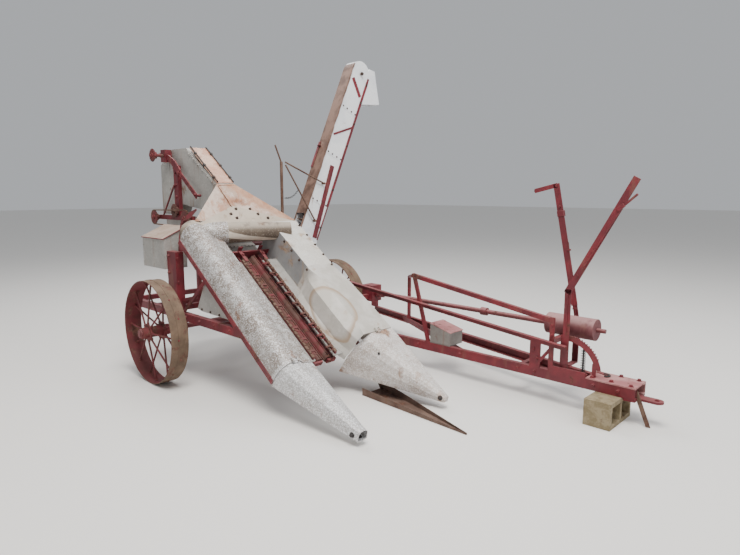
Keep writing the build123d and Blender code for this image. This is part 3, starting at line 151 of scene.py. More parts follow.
class Shader:
    """A thin helper to add and link nodes in one tree."""

    def __init__(self, tree: bpy.types.NodeTree) -> None:
        """Keeps the tree that nodes are added to."""
        self.tree = tree

    def add(self, kind: str, **values: object) -> bpy.types.Node:
        """Adds a node and sets its properties or its inputs by name.

        Args:
            kind: The node's Blender type.
            values: Property or input values. An underscore in an input's name stands for a space.

        Returns:
            The new node.
        """
        node = self.tree.nodes.new(kind)
        for key, value in values.items():
            if hasattr(node, key):
                setattr(node, key, value)
            else:
                node.inputs[key.replace("_", " ")].default_value = value
        return node

    def link(self, source: bpy.types.NodeSocket, target: bpy.types.NodeSocket) -> None:
        """Links an output to an input."""
        self.tree.links.new(source, target)

    def ramp(self, source: bpy.types.NodeSocket, low: float, high: float) -> bpy.types.NodeSocket:
        """A smooth mask that rises from 0 at low to 1 at high.

        Args:
            source: The value to be mapped.
            low: Where the mask starts.
            high: Where it is full.

        Returns:
            The mask's output socket.
        """
        node = self.add("ShaderNodeMapRange", interpolation_type="SMOOTHSTEP")
        self.link(source, node.inputs["Value"])
        node.inputs["From Min"].default_value = low
        node.inputs["From Max"].default_value = high
        return node.outputs["Result"]

    def noise(self, scale: float, detail: float) -> bpy.types.NodeSocket:
        """A noise that keeps its place on the object.

        Args:
            scale: The noise's scale.
            detail: The noise's detail.

        Returns:
            The noise's output socket.
        """
        place = self.add("ShaderNodeTexCoord")
        noise = self.add("ShaderNodeTexNoise", Scale=scale, Detail=detail)
        self.link(place.outputs["Object"], noise.inputs["Vector"])
        return noise.outputs["Fac"]

    def dot(self, source: bpy.types.NodeSocket, way: Sequence[float]) -> bpy.types.NodeSocket:
        """How far a vector reaches along a fixed way.

        Args:
            source: The vector.
            way: The way it is measured along.

        Returns:
            The reach's output socket.
        """
        node = self.add("ShaderNodeVectorMath", operation="DOT_PRODUCT")
        self.link(source, node.inputs[0])
        node.inputs[1].default_value = way
        return node.outputs["Value"]

    def length(self, source: bpy.types.NodeSocket) -> bpy.types.NodeSocket:
        """The length of a vector.

        Args:
            source: The vector.

        Returns:
            The length's output socket.
        """
        node = self.add("ShaderNodeVectorMath", operation="LENGTH")
        self.link(source, node.inputs[0])
        return node.outputs["Value"]

    def fade(self, mask: bpy.types.NodeSocket, clean: float, stained: float,
             target: bpy.types.NodeSocket) -> None:
        """Sets an input that goes from one value to another with a mask.

        Args:
            mask: The mask.
            clean: The value where the mask is 0.
            stained: The value where it is 1.
            target: The input that is set.
        """
        node = self.add("ShaderNodeMapRange")
        self.link(mask, node.inputs["Value"])
        node.inputs["To Min"].default_value = clean
        node.inputs["To Max"].default_value = stained
        self.link(node.outputs["Result"], target)

    def mix(self, mask: bpy.types.NodeSocket, first: object, second: object) -> bpy.types.NodeSocket:
        """Mixes two colours, each given as a socket or as a colour.

        Args:
            mask: The share of the second.
            first: The colour at mask 0.
            second: The colour at mask 1.

        Returns:
            The mixed colour's output socket.
        """
        node = self.add("ShaderNodeMix", data_type="RGBA")
        for index, value in ((6, first), (7, second)):
            if isinstance(value, bpy.types.NodeSocket):
                self.link(value, node.inputs[index])
            else:
                node.inputs[index].default_value = (*value, 1.0)
        self.link(mask, node.inputs[0])
        return node.outputs[2]

    def maths(self, operation: str, first: object, second: object,
              clamp: bool = True) -> bpy.types.NodeSocket:
        """A Math node with sockets or numbers on both inputs.

        Args:
            operation: The node's operation.
            first: The first value.
            second: The second value.
            clamp: Whether the result is kept between 0 and 1, which a difference never is.

        Returns:
            The result's output socket.
        """
        node = self.add("ShaderNodeMath", operation=operation, use_clamp=clamp and operation != "SUBTRACT")
        for index, value in enumerate((first, second)):
            if isinstance(value, bpy.types.NodeSocket):
                self.link(value, node.inputs[index])
            else:
                node.inputs[index].default_value = value
        return node.outputs[0]


def noise_mask(name: str, stretch: Sequence[float], detail: float) -> bpy.types.NodeTree:
    """A node group that turns a stretched noise into a mask with soft or hard edges.

    Args:
        name: The group's name.
        stretch: How the pattern's size differs on X, Y and Z.
        detail: The noise's detail.

    Returns:
        The node group, with inputs Scale, Cover and Softness and an output Mask.
    """
    group = bpy.data.node_groups.new(name, "ShaderNodeTree")
    for label, default in (("Scale", 6.0), ("Cover", 0.5), ("Softness", 0.08)):
        socket = group.interface.new_socket(label, in_out="INPUT", socket_type="NodeSocketFloat")
        socket.default_value = default
    group.interface.new_socket("Mask", in_out="OUTPUT", socket_type="NodeSocketFloat")
    shader = Shader(group)
    source, out = shader.add("NodeGroupInput"), shader.add("NodeGroupOutput")
    place = shader.add("ShaderNodeTexCoord")
    mapping = shader.add("ShaderNodeMapping")
    mapping.inputs["Scale"].default_value = tuple(stretch)
    shader.link(place.outputs["Object"], mapping.inputs["Vector"])
    noise = shader.add("ShaderNodeTexNoise", Detail=detail, Roughness=0.62, Distortion=0.35)
    shader.link(mapping.outputs["Vector"], noise.inputs["Vector"])
    shader.link(source.outputs["Scale"], noise.inputs["Scale"])
    edge = shader.maths("SUBTRACT", 1.0, source.outputs["Cover"])
    edge = shader.maths("MULTIPLY", edge, NOISE_SPREAD)
    edge = shader.maths("ADD", edge, NOISE_LOW)
    ramp = shader.add("ShaderNodeMapRange", interpolation_type="SMOOTHSTEP")
    low = shader.maths("SUBTRACT", edge, source.outputs["Softness"])
    high = shader.maths("ADD", edge, source.outputs["Softness"])
    shader.link(noise.outputs["Fac"], ramp.inputs["Value"])
    shader.link(low, ramp.inputs["From Min"])
    shader.link(high, ramp.inputs["From Max"])
    shader.link(ramp.outputs["Result"], out.inputs["Mask"])
    return group


def worn_edges(name: str) -> bpy.types.NodeTree:
    """A node group that finds sharp edges, broken up by a fine noise.

    Args:
        name: The group's name.

    Returns:
        The node group, with an input Width and an output Mask.
    """
    group = bpy.data.node_groups.new(name, "ShaderNodeTree")
    socket = group.interface.new_socket("Width", in_out="INPUT", socket_type="NodeSocketFloat")
    socket.default_value = 0.006
    group.interface.new_socket("Mask", in_out="OUTPUT", socket_type="NodeSocketFloat")
    shader = Shader(group)
    source, out = shader.add("NodeGroupInput"), shader.add("NodeGroupOutput")
    bevel = shader.add("ShaderNodeBevel", samples=4)
    shader.link(source.outputs["Width"], bevel.inputs["Radius"])
    normal = shader.add("ShaderNodeNewGeometry")
    dot = shader.add("ShaderNodeVectorMath", operation="DOT_PRODUCT")
    shader.link(bevel.outputs["Normal"], dot.inputs[0])
    shader.link(normal.outputs["Normal"], dot.inputs[1])
    curve = shader.maths("SUBTRACT", 1.0, dot.outputs["Value"])
    edge = shader.ramp(curve, 0.02, 0.18)
    broken = shader.ramp(shader.noise(34.0, 3.0), 0.42, 0.62)
    shader.link(shader.maths("MULTIPLY", edge, broken), out.inputs["Mask"])
    return group


def upward(name: str) -> bpy.types.NodeTree:
    """A node group that finds faces turned to the sky.

    Args:
        name: The group's name.

    Returns:
        The node group, with an output Mask.
    """
    group = bpy.data.node_groups.new(name, "ShaderNodeTree")
    group.interface.new_socket("Mask", in_out="OUTPUT", socket_type="NodeSocketFloat")
    shader = Shader(group)
    out = shader.add("NodeGroupOutput")
    normal = shader.add("ShaderNodeNewGeometry")
    split = shader.add("ShaderNodeSeparateXYZ")
    shader.link(normal.outputs["Normal"], split.inputs[0])
    shader.link(shader.ramp(split.outputs["Z"], 0.1, 0.85), out.inputs["Mask"])
    return group


def spangle(name: str) -> bpy.types.NodeTree:
    """A node group for the crystals of hot-dipped zinc.

    Args:
        name: The group's name.

    Returns:
        The node group, with an input Scale and an output Value.
    """
    group = bpy.data.node_groups.new(name, "ShaderNodeTree")
    socket = group.interface.new_socket("Scale", in_out="INPUT", socket_type="NodeSocketFloat")
    socket.default_value = 60.0
    group.interface.new_socket("Value", in_out="OUTPUT", socket_type="NodeSocketFloat")
    shader = Shader(group)
    source, out = shader.add("NodeGroupInput"), shader.add("NodeGroupOutput")
    place = shader.add("ShaderNodeTexCoord")
    cells = shader.add("ShaderNodeTexVoronoi", feature="F1")
    shader.link(place.outputs["Object"], cells.inputs["Vector"])
    shader.link(source.outputs["Scale"], cells.inputs["Scale"])
    grey = shader.add("ShaderNodeRGBToBW")
    shader.link(cells.outputs["Color"], grey.inputs[0])
    shader.link(grey.outputs[0], out.inputs["Value"])
    return group


@dataclass
class Effects:
    """The node groups that several finishes share, each built once."""

    patches: bpy.types.NodeTree = field(default_factory=lambda: noise_mask("patches", (1, 1, 1), 6.0))
    streaks: bpy.types.NodeTree = field(default_factory=lambda: noise_mask("streaks", (1, 1, 0.14), 4.0))
    edges: bpy.types.NodeTree = field(default_factory=lambda: worn_edges("worn_edges"))
    upward: bpy.types.NodeTree = field(default_factory=lambda: upward("upward"))
    spangle: bpy.types.NodeTree = field(default_factory=lambda: spangle("spangle"))

    def place(self, shader: Shader, group: bpy.types.NodeTree, output: str,
              **values: float) -> bpy.types.NodeSocket:
        """Places one effect in a material.

        Args:
            shader: The material's shader helper.
            group: The effect's node group.
            output: The name of the output that is wanted.
            values: The group's input values.

        Returns:
            The output socket.
        """
        node = shader.add("ShaderNodeGroup", node_tree=group)
        for key, value in values.items():
            node.inputs[key].default_value = value
        return node.outputs[output]


@dataclass(frozen=True)
class Zone:
    """A part of a surface that has two tones; most zones give the sheet's own colour, and a few give painted
    shade and painted light.
    """

    first: Colour
    second: Colour

    def mask(self, shader: Shader, layout: Layout) -> bpy.types.NodeSocket:
        """The zone's mask, from 0 outside to 1 inside."""
        raise NotImplementedError

    def away(self, shader: Shader, layout: Layout, origin: Place) -> bpy.types.NodeSocket:
        """The way from a layout place to the shaded point.

        Args:
            shader: The material's shader helper.
            layout: The machine's layout.
            origin: The layout place.

        Returns:
            The way's output socket.
        """
        place = shader.add("ShaderNodeTexCoord")
        way = shader.add("ShaderNodeVectorMath", operation="SUBTRACT")
        shader.link(place.outputs["Object"], way.inputs[0])
        way.inputs[1].default_value = layout.at(*origin)
        return way.outputs[0]


@dataclass(frozen=True)
class Band(Zone):
    """A ragged stripe between two distances from a place, along a direction."""

    origin: Place = (0.0, 0.0, 0.0)
    way: Place = (0.0, 0.0, 1.0)
    start: float = 0.0
    end: float = 0.1
    ragged: float = 0.05
    soft: float = 0.006

    def mask(self, shader: Shader, layout: Layout) -> bpy.types.NodeSocket:
        """The stripe's mask, its edges broken by a noise.

        Args:
            shader: The material's shader helper.
            layout: The machine's layout.

        Returns:
            The mask's output socket.
        """
        reach = shader.dot(self.away(shader, layout, self.origin), self.way)
        uneven = shader.maths("SUBTRACT", shader.noise(7.0, 6.0), 0.5)
        value = shader.maths("ADD", reach, shader.maths("MULTIPLY", uneven, self.ragged, False), False)
        rise = shader.ramp(value, self.start - self.soft, self.start + self.soft)
        fall = shader.ramp(value, self.end - self.soft, self.end + self.soft)
        return shader.maths("MULTIPLY", rise, shader.maths("SUBTRACT", 1.0, fall))


@dataclass(frozen=True)
class Tread(Zone):
    """What lies outside a radius from the wheels' axle."""

    axle: Place = (0.0, 0.0, WHEEL_RADIUS)
    radius: float = 0.45
    soft: float = 0.0015

    def mask(self, shader: Shader, layout: Layout) -> bpy.types.NodeSocket:
        """The mask of the tread's outer face.

        Args:
            shader: The material's shader helper.
            layout: The machine's layout.

        Returns:
            The mask's output socket.
        """
        flat = shader.add("ShaderNodeVectorMath", operation="MULTIPLY")
        shader.link(self.away(shader, layout, self.axle), flat.inputs[0])
        flat.inputs[1].default_value = (1.0, 0.0, 1.0)
        return shader.ramp(shader.length(flat.outputs[0]), self.radius - self.soft, self.radius + self.soft)


@dataclass(frozen=True)
class Stain(Zone):
    """The dried rim of a long oval stain."""

    origin: Place = (1.235, 1.080, 0.640)
    way: Place = (0.809, 0.0, -0.588)
    long: float = 0.300
    wide: float = 0.165
    ragged: float = 0.35
    strength: float = 0.75
    inner_edge: tuple[float, float] = (0.86, 1.14)
    outer_edge: tuple[float, float] = (1.16, 1.26)

    def mask(self, shader: Shader, layout: Layout) -> bpy.types.NodeSocket:
        """The rim's mask, its line made uneven by a noise.

        Args:
            shader: The material's shader helper.
            layout: The machine's layout.

        Returns:
            The mask's output socket.
        """
        away = self.away(shader, layout, self.origin)
        whole = shader.maths("POWER", shader.length(away), 2.0, False)
        along = shader.maths("ABSOLUTE", shader.dot(away, self.way), 0.0, False)
        along = shader.maths("POWER", along, 2.0, False)
        across = shader.maths("DIVIDE", shader.maths("SUBTRACT", whole, along), self.wide ** 2, False)
        total = shader.maths("ADD", across, shader.maths("DIVIDE", along, self.long ** 2, False), False)
        uneven = shader.maths("MULTIPLY", shader.noise(6.0, 5.0), self.ragged, False)
        uneven = shader.maths("ADD", total, uneven, False)
        rise, fall = shader.ramp(uneven, *self.inner_edge), shader.ramp(uneven, *self.outer_edge)
        rim = shader.maths("MULTIPLY", rise, shader.maths("SUBTRACT", 1.0, fall))
        return shader.maths("MULTIPLY", rim, self.strength)


@dataclass(frozen=True)
class ShadedSide(Zone):
    """The faces that are turned one way, given darker tones as painted shade."""

    way: Place = Axis.RIGHT.value
    low: float = 0.35
    high: float = 0.7

    def mask(self, shader: Shader, layout: Layout) -> bpy.types.NodeSocket:
        """The mask of the faces that are turned the zone's way."""
        normal = shader.add("ShaderNodeNewGeometry").outputs["Normal"]
        return shader.ramp(shader.dot(normal, self.way), self.low, self.high)


@dataclass(frozen=True)
class Flakes:
    """Small pale flakes or dark specks all over a sheet."""

    colour: Colour
    scale: float = 55.0
    cover: float = 0.45
    share: float = 0.85


@dataclass(frozen=True)
class Finish:
    """A weathered finish, mixed from a base, a second tone, stains and rust, with painted shade and painted
    light where a finish asks for them.
    """

    name: str
    base: Colour
    second: Colour
    rust: Colour
    deep_rust: Colour
    faded: Colour = (0.5, 0.3, 0.28)
    metallic: float = 0.0
    roughness: float = 0.6
    second_cover: float = 0.5
    second_scale: float = 5.0
    rust_cover: float = 0.3
    rust_scale: float = 7.0
    streak_cover: float = 0.25
    edge_wear: float = 0.0
    sun_fade_and_top_light: float = 0.0
    crystals: float = 0.0
    bump: float = 0.25
    zones: tuple[Zone, ...] = ()
    flakes: tuple[Flakes, ...] = ()
    crystal_gain: float = 1.75
    streak_strength: float = 0.7
    edge_width: float = 0.007
    rust_roughness: float = 0.92
    grain: float = 0.35
    rust_height: float = 0.4

    def build(self, effects: Effects, layout: Layout) -> bpy.types.Material:
        """Builds the material.

        Args:
            effects: The shared node groups.
            layout: The machine's layout, for the zones' places.

        Returns:
            The material.
        """
        material = bpy.data.materials.new(self.name)
        material.use_nodes = True
        material.node_tree.nodes.clear()
        shader = Shader(material.node_tree)
        body = shader.add("ShaderNodeBsdfPrincipled")
        out = shader.add("ShaderNodeOutputMaterial")
        shader.link(body.outputs[0], out.inputs[0])
        tone = effects.place(shader, effects.patches, "Mask", Scale=self.second_scale,
                             Cover=self.second_cover, Softness=0.10)
        colour = shader.mix(tone, self.base, self.second)
        if self.crystals:
            value = effects.place(shader, effects.spangle, "Value", Scale=95.0)
            amount = shader.maths("MULTIPLY", value, self.crystals)
            colour = shader.mix(amount, colour, tuple(min(1.0, c * self.crystal_gain) for c in self.base))
        for flakes in self.flakes:
            fleck = effects.place(shader, effects.patches, "Mask", Scale=flakes.scale, Cover=flakes.cover,
                                  Softness=0.05)
            colour = shader.mix(shader.maths("MULTIPLY", fleck, flakes.share), colour, flakes.colour)
        for zone in self.zones:
            blotch = effects.place(shader, effects.patches, "Mask", Scale=6.0, Cover=0.5, Softness=0.12)
            colour = shader.mix(zone.mask(shader, layout), colour,
                                shader.mix(blotch, zone.first, zone.second))
        # Faces turned to the sky take a paler colour: sun fade on the painted parts, painted top light on the
        # cross tube.
        if self.sun_fade_and_top_light:
            sky = effects.place(shader, effects.upward, "Mask")
            blotch = effects.place(shader, effects.patches, "Mask", Scale=9.0, Cover=0.72, Softness=0.12)
            colour = shader.mix(shader.maths("MULTIPLY", shader.maths("MULTIPLY", sky, blotch), self.sun_fade_and_top_light),
                                colour, self.faded)
        streak = effects.place(shader, effects.streaks, "Mask", Scale=11.0, Cover=self.streak_cover,
                               Softness=0.09)
        colour = shader.mix(shader.maths("MULTIPLY", streak, self.streak_strength), colour, self.rust)
        rust = effects.place(shader, effects.patches, "Mask", Scale=self.rust_scale,
                             Cover=self.rust_cover, Softness=0.06)
        fine = effects.place(shader, effects.patches, "Mask", Scale=42.0, Cover=0.5, Softness=0.14)
        rust_colour = shader.mix(fine, self.rust, self.deep_rust)
        mask = rust
        if self.edge_wear:
            edge = effects.place(shader, effects.edges, "Mask", Width=self.edge_width)
            mask = shader.maths("MAXIMUM", rust, shader.maths("MULTIPLY", edge, self.edge_wear))
        colour = shader.mix(mask, colour, rust_colour)
        shader.link(colour, body.inputs["Base Color"])
        shader.fade(mask, self.roughness, self.rust_roughness, body.inputs["Roughness"])
        if self.metallic:
            shader.fade(mask, self.metallic, 0.0, body.inputs["Metallic"])
        height = shader.maths("ADD", shader.maths("MULTIPLY", shader.noise(120.0, 4.0), self.grain),
                              shader.maths("MULTIPLY", mask, self.rust_height))
        bump = shader.add("ShaderNodeBump", Strength=self.bump, Distance=0.004)
        shader.link(height, bump.inputs["Height"])
        shader.link(bump.outputs["Normal"], body.inputs["Normal"])
        return material


class Tone(Enum):
    """The finishes of the machine."""

    CRIMSON = Finish("crimson_paint", (0.185, 0.016, 0.025), (0.115, 0.011, 0.018), (0.16, 0.055, 0.040),
                     (0.070, 0.026, 0.022), faded=(0.34, 0.12, 0.12), roughness=0.55, second_cover=0.55,
                     rust_cover=0.30, streak_cover=0.30, edge_wear=0.55, sun_fade_and_top_light=0.45)
    SHIELD = Finish("dull_shield_paint", (0.13, 0.032, 0.038), (0.18, 0.06, 0.064), (0.22, 0.10, 0.075),
                    (0.12, 0.05, 0.045), faded=(0.46, 0.27, 0.26), roughness=0.7, rust_cover=0.28,
                    edge_wear=0.6, sun_fade_and_top_light=0.7)
    NOSE = Finish("faded_nose_paint", (0.34, 0.13, 0.13), (0.46, 0.24, 0.23), (0.24, 0.11, 0.08),
                  (0.12, 0.05, 0.04), roughness=0.75, rust_cover=0.30, edge_wear=0.7)
    BOX_LID = Finish("faded_lid_paint", (0.46, 0.19, 0.19), (0.56, 0.28, 0.27), (0.24, 0.11, 0.08),
                     (0.12, 0.05, 0.04), roughness=0.75, rust_cover=0.25, edge_wear=0.7)
    DRIVE_LID = Finish("bare_brown_lid", (0.36, 0.27, 0.21), (0.44, 0.34, 0.28), (0.25, 0.03, 0.04),
                       (0.17, 0.04, 0.04), roughness=0.8, second_scale=9.0, rust_cover=0.22, edge_wear=1.0,
                       streak_cover=0.2)
    SHAFT = Finish("dark_red_shaft", (0.17, 0.035, 0.04), (0.12, 0.028, 0.030), (0.14, 0.06, 0.045),
                   (0.07, 0.03, 0.025), faded=(0.36, 0.15, 0.15), roughness=0.6, rust_cover=0.3,
                   edge_wear=0.5, sun_fade_and_top_light=0.75)
    SPECKLED = Finish("speckled_zinc", (0.27, 0.240, 0.215), (0.18, 0.140, 0.112), (0.27, 0.15, 0.095),
                      (0.15, 0.08, 0.055), metallic=0.2, roughness=0.55, second_cover=0.5, second_scale=3.0,
                      rust_cover=0.25, rust_scale=4.5, streak_cover=0.20, crystals=0.25, bump=0.16,
                      flakes=(Flakes((0.58, 0.58, 0.58), 16.0, 0.42, 0.45),
                              Flakes((0.80, 0.81, 0.83), 105.0, 0.42, 0.75),
                              Flakes((0.17, 0.13, 0.105), 130.0, 0.30, 0.6)))
    SNOUT_ZINC = Finish("bright_speckled_zinc", (0.40, 0.385, 0.375), (0.28, 0.235, 0.205),
                        (0.27, 0.15, 0.095), (0.15, 0.08, 0.055), metallic=0.2, roughness=0.55,
                        second_cover=0.45, second_scale=3.5, rust_cover=0.22, rust_scale=5.0,
                        streak_cover=0.15, crystals=0.25, bump=0.16,
                        flakes=(Flakes((0.84, 0.85, 0.87), 100.0, 0.48, 0.75),
                                Flakes((0.22, 0.18, 0.155), 130.0, 0.28, 0.6)))
    CREAM_ZINC = Finish("creamy_zinc", (0.55, 0.52, 0.47), (0.63, 0.61, 0.57), (0.42, 0.29, 0.19),
                        (0.24, 0.14, 0.09), metallic=0.15, roughness=0.6, second_cover=0.5,
                        second_scale=4.0, rust_cover=0.27, rust_scale=3.0, streak_cover=0.22, crystals=0.25,
                        bump=0.12,
                        # The darker blue-grey on the faces turned to the right is painted shade.
                        zones=(ShadedSide((0.33, 0.325, 0.32), (0.275, 0.275, 0.28), low=0.55, high=0.9),
                               Band((0.50, 0.47, 0.42), (0.60, 0.57, 0.53), origin=(0.060, 0.0, 1.220),
                                    way=(0.809, 0.0, -0.588), start=0.80, end=2.0, ragged=0.05),
                               Stain((0.40, 0.27, 0.165), (0.33, 0.215, 0.13))),
                        flakes=(Flakes((0.76, 0.76, 0.75), 70.0, 0.32, 0.6),
                                Flakes((0.27, 0.21, 0.17), 110.0, 0.26, 0.5)))
    INNER_SNOUT = Finish("dirty_snout_zinc", (0.44, 0.375, 0.33), (0.62, 0.58, 0.55), (0.38, 0.24, 0.16),
                         (0.22, 0.125, 0.085), metallic=0.15, roughness=0.6, second_cover=0.55,
                         second_scale=4.0, rust_cover=0.32, rust_scale=4.0, streak_cover=0.25, crystals=0.2,
                         bump=0.16, flakes=(Flakes((0.82, 0.82, 0.83), 90.0, 0.44, 0.7),
                                            Flakes((0.22, 0.15, 0.11), 120.0, 0.36, 0.6)))
    # The cross tube's pale beige top is painted top light over dark stained zinc.
    CROSS = Finish("stained_zinc_painted_lit_top", (0.15, 0.112, 0.080), (0.10, 0.072, 0.052), (0.22, 0.125, 0.08),
                   (0.12, 0.065, 0.045), metallic=0.1, roughness=0.65, second_cover=0.5, second_scale=4.0,
                   rust_cover=0.28, rust_scale=5.0, streak_cover=0.25, bump=0.16, sun_fade_and_top_light=0.8,
                   faded=(0.44, 0.38, 0.31),
                   # The pale band on the apron's face is painted light on a lit facet.
                   zones=(Band((0.62, 0.54, 0.45), (0.52, 0.43, 0.34), origin=(0.2113, 0.7515, 1.4695),
                               way=(0.770, -0.174, 0.614), start=-0.022, end=0.022, ragged=0.010,
                               soft=0.004),),
                   flakes=(Flakes((0.50, 0.45, 0.38), 80.0, 0.34, 0.35),
                           Flakes((0.16, 0.11, 0.08), 100.0, 0.28, 0.5)))
    GREY = Finish("weathered_grey_sheet", (0.31, 0.30, 0.28), (0.38, 0.365, 0.34), (0.25, 0.15, 0.10),
                  (0.13, 0.075, 0.05), metallic=0.2, roughness=0.62, second_cover=0.5, rust_cover=0.22,
                  rust_scale=5.0, streak_cover=0.28, crystals=0.25, bump=0.14,
                  flakes=(Flakes((0.52, 0.52, 0.51), 40.0, 0.32, 0.5),))
    PALE = Finish("pale_elevator_sheet", (0.70, 0.72, 0.75), (0.80, 0.81, 0.83), (0.42, 0.27, 0.19),
                  (0.24, 0.15, 0.11), metallic=0.15, roughness=0.55, second_cover=0.5, second_scale=2.5,
                  rust_cover=0.13, rust_scale=5.0, streak_cover=0.15, crystals=0.25, bump=0.10,
                  zones=(Band((0.11, 0.055, 0.036), (0.22, 0.125, 0.09), origin=(0.0, 2.170, 0.980),
                              way=(0.0, 0.9114, -0.4115), start=-0.20, end=-0.138, ragged=0.05),))
    HOOD = Finish("rust_stained_hood", (0.60, 0.49, 0.42), (0.46, 0.33, 0.26), (0.42, 0.20, 0.115),
                  (0.24, 0.115, 0.07), metallic=0.1, roughness=0.72, second_cover=0.5, second_scale=3.0,
                  rust_cover=0.34, rust_scale=4.0, streak_cover=0.42, bump=0.2,
                  # The darker brown on the faces turned to the right is painted shade.
                  zones=(ShadedSide((0.40, 0.25, 0.17), (0.33, 0.18, 0.115), low=0.18, high=0.45),
                         Band((0.40, 0.21, 0.13), (0.52, 0.33, 0.23), origin=(-0.012, 0.936, 1.729),
                              way=(0.292, -0.760, -0.581), start=-0.40, end=0.075, ragged=0.12, soft=0.03)),
                  flakes=(Flakes((0.68, 0.61, 0.55), 30.0, 0.36, 0.6),
                          Flakes((0.23, 0.14, 0.10), 60.0, 0.28, 0.5)))
    SALMON = Finish("rust_stained_cover", (0.56, 0.32, 0.23), (0.66, 0.45, 0.35), (0.34, 0.16, 0.11),
                    (0.17, 0.08, 0.06), metallic=0.1, roughness=0.72, second_cover=0.5, second_scale=5.0,
                    rust_cover=0.30, rust_scale=6.0, streak_cover=0.3, bump=0.2)
    SHOE = Finish("dark_rusty_trough", (0.105, 0.062, 0.046), (0.16, 0.10, 0.075), (0.15, 0.065, 0.04),
                  (0.05, 0.028, 0.022), roughness=0.85, rust_cover=0.35, bump=0.3)
    TOOLBOX = Finish("grey_toolbox_sheet", (0.20, 0.18, 0.165), (0.27, 0.25, 0.23), (0.20, 0.11, 0.075),
                     (0.11, 0.06, 0.045), metallic=0.1, roughness=0.65, rust_cover=0.25, crystals=0.2,
                     bump=0.14)
    DRIVE = Finish("dark_drive_iron", (0.15, 0.026, 0.030), (0.10, 0.045, 0.035), (0.13, 0.06, 0.04),
                   (0.06, 0.03, 0.024), roughness=0.75, rust_cover=0.38, edge_wear=0.5, bump=0.25)
    RUST = Finish("bare_rusty_iron", (0.12, 0.065, 0.045), (0.18, 0.11, 0.08), (0.13, 0.055, 0.035),
                  (0.06, 0.03, 0.022), metallic=0.2, roughness=0.85, second_cover=0.5, rust_cover=0.4,
                  streak_cover=0.2, bump=0.35)
    WHEEL = Finish("red_wheel_iron", (0.17, 0.030, 0.036), (0.115, 0.028, 0.028), (0.17, 0.08, 0.055),
                   (0.085, 0.038, 0.030), metallic=0.1, roughness=0.75, second_cover=0.5, rust_cover=0.36,
                   streak_cover=0.2, bump=0.3,
                   zones=(Tread((0.19, 0.125, 0.082), (0.12, 0.078, 0.050), radius=0.4505),))
    HUB = Finish("red_hub_iron", (0.20, 0.035, 0.040), (0.14, 0.03, 0.03), (0.20, 0.10, 0.07),
                 (0.10, 0.045, 0.035), metallic=0.1, roughness=0.75, rust_cover=0.40, edge_wear=0.8,
                 bump=0.35)
    BOLT = Finish("dark_bolts", (0.055, 0.036, 0.030), (0.085, 0.055, 0.042), (0.08, 0.035, 0.025),
                  (0.04, 0.022, 0.018), metallic=0.3, roughness=0.75, rust_cover=0.4, bump=0.2)
    BLACK = Finish("old_black_iron", (0.035, 0.032, 0.032), (0.060, 0.052, 0.048), (0.10, 0.05, 0.035),
                   (0.06, 0.03, 0.025), metallic=0.2, roughness=0.7, rust_cover=0.3, bump=0.2)
    CONCRETE = Finish("cream_concrete", (0.20, 0.155, 0.085), (0.29, 0.235, 0.145), (0.24, 0.18, 0.11),
                      (0.17, 0.125, 0.08), roughness=0.95, second_cover=0.5, second_scale=16.0,
                      rust_cover=0.25, rust_scale=20.0, streak_cover=0.12, bump=0.7)


NODE_TONES: dict[Tone, tuple[str, ...]] = {
    Tone.CRIMSON: ("main_frame", "post_right", "post_left", "head_rails", "drive_frame", "wagon_bracket",
                   "tongue_near_rail", "tongue_far_rail", "tongue_braces", "truss", "lift_bar",
                   "lever_stand", "quadrant", "height_lever", "lift_lever", "rear_hitch", "bed_legs",
                   "wagon_rails", "hitch_plate", "gearbox", "gathering_chain_right",
                   "gathering_chain_left", "roll_frame"),
    Tone.NOSE: ("nose_plate",),
    Tone.SHIELD: ("shaft_shield",),
    Tone.BOX_LID: ("toolbox_lid",),
    Tone.DRIVE_LID: ("shield_box_lid",),
    Tone.SHAFT: ("drive_shaft", "axle"),
    Tone.SPECKLED: ("outer_divider",),
    Tone.SNOUT_ZINC: ("outer_snout",),
    Tone.CROSS: ("cross_tube",),
    Tone.CREAM_ZINC: ("inner_divider",),
    Tone.INNER_SNOUT: ("inner_snout",),
    Tone.PALE: ("wagon_trough", "wagon_spout"),
    Tone.GREY: ("side_skirt", "throat_walls", "first_elevator", "husking_bed", "shield_box", "chain_guides"),
    Tone.TOOLBOX: ("toolbox",),
    Tone.HOOD: ("hood",),
    Tone.SALMON: ("elevator_cover",),
    Tone.SHOE: ("floor_shoe",),
    Tone.DRIVE: ("drive_sprockets", "snapping_roll_right", "snapping_roll_left"),
    Tone.RUST: ("husking_rolls", "wagon_chain", "stay_post", "wagon_stays", "stand_leg"),
    Tone.WHEEL: ("wheel_right_rim", "wheel_left_rim"),
    Tone.HUB: ("wheel_right_hub", "wheel_left_hub"),
    Tone.CONCRETE: ("concrete_block",),
}


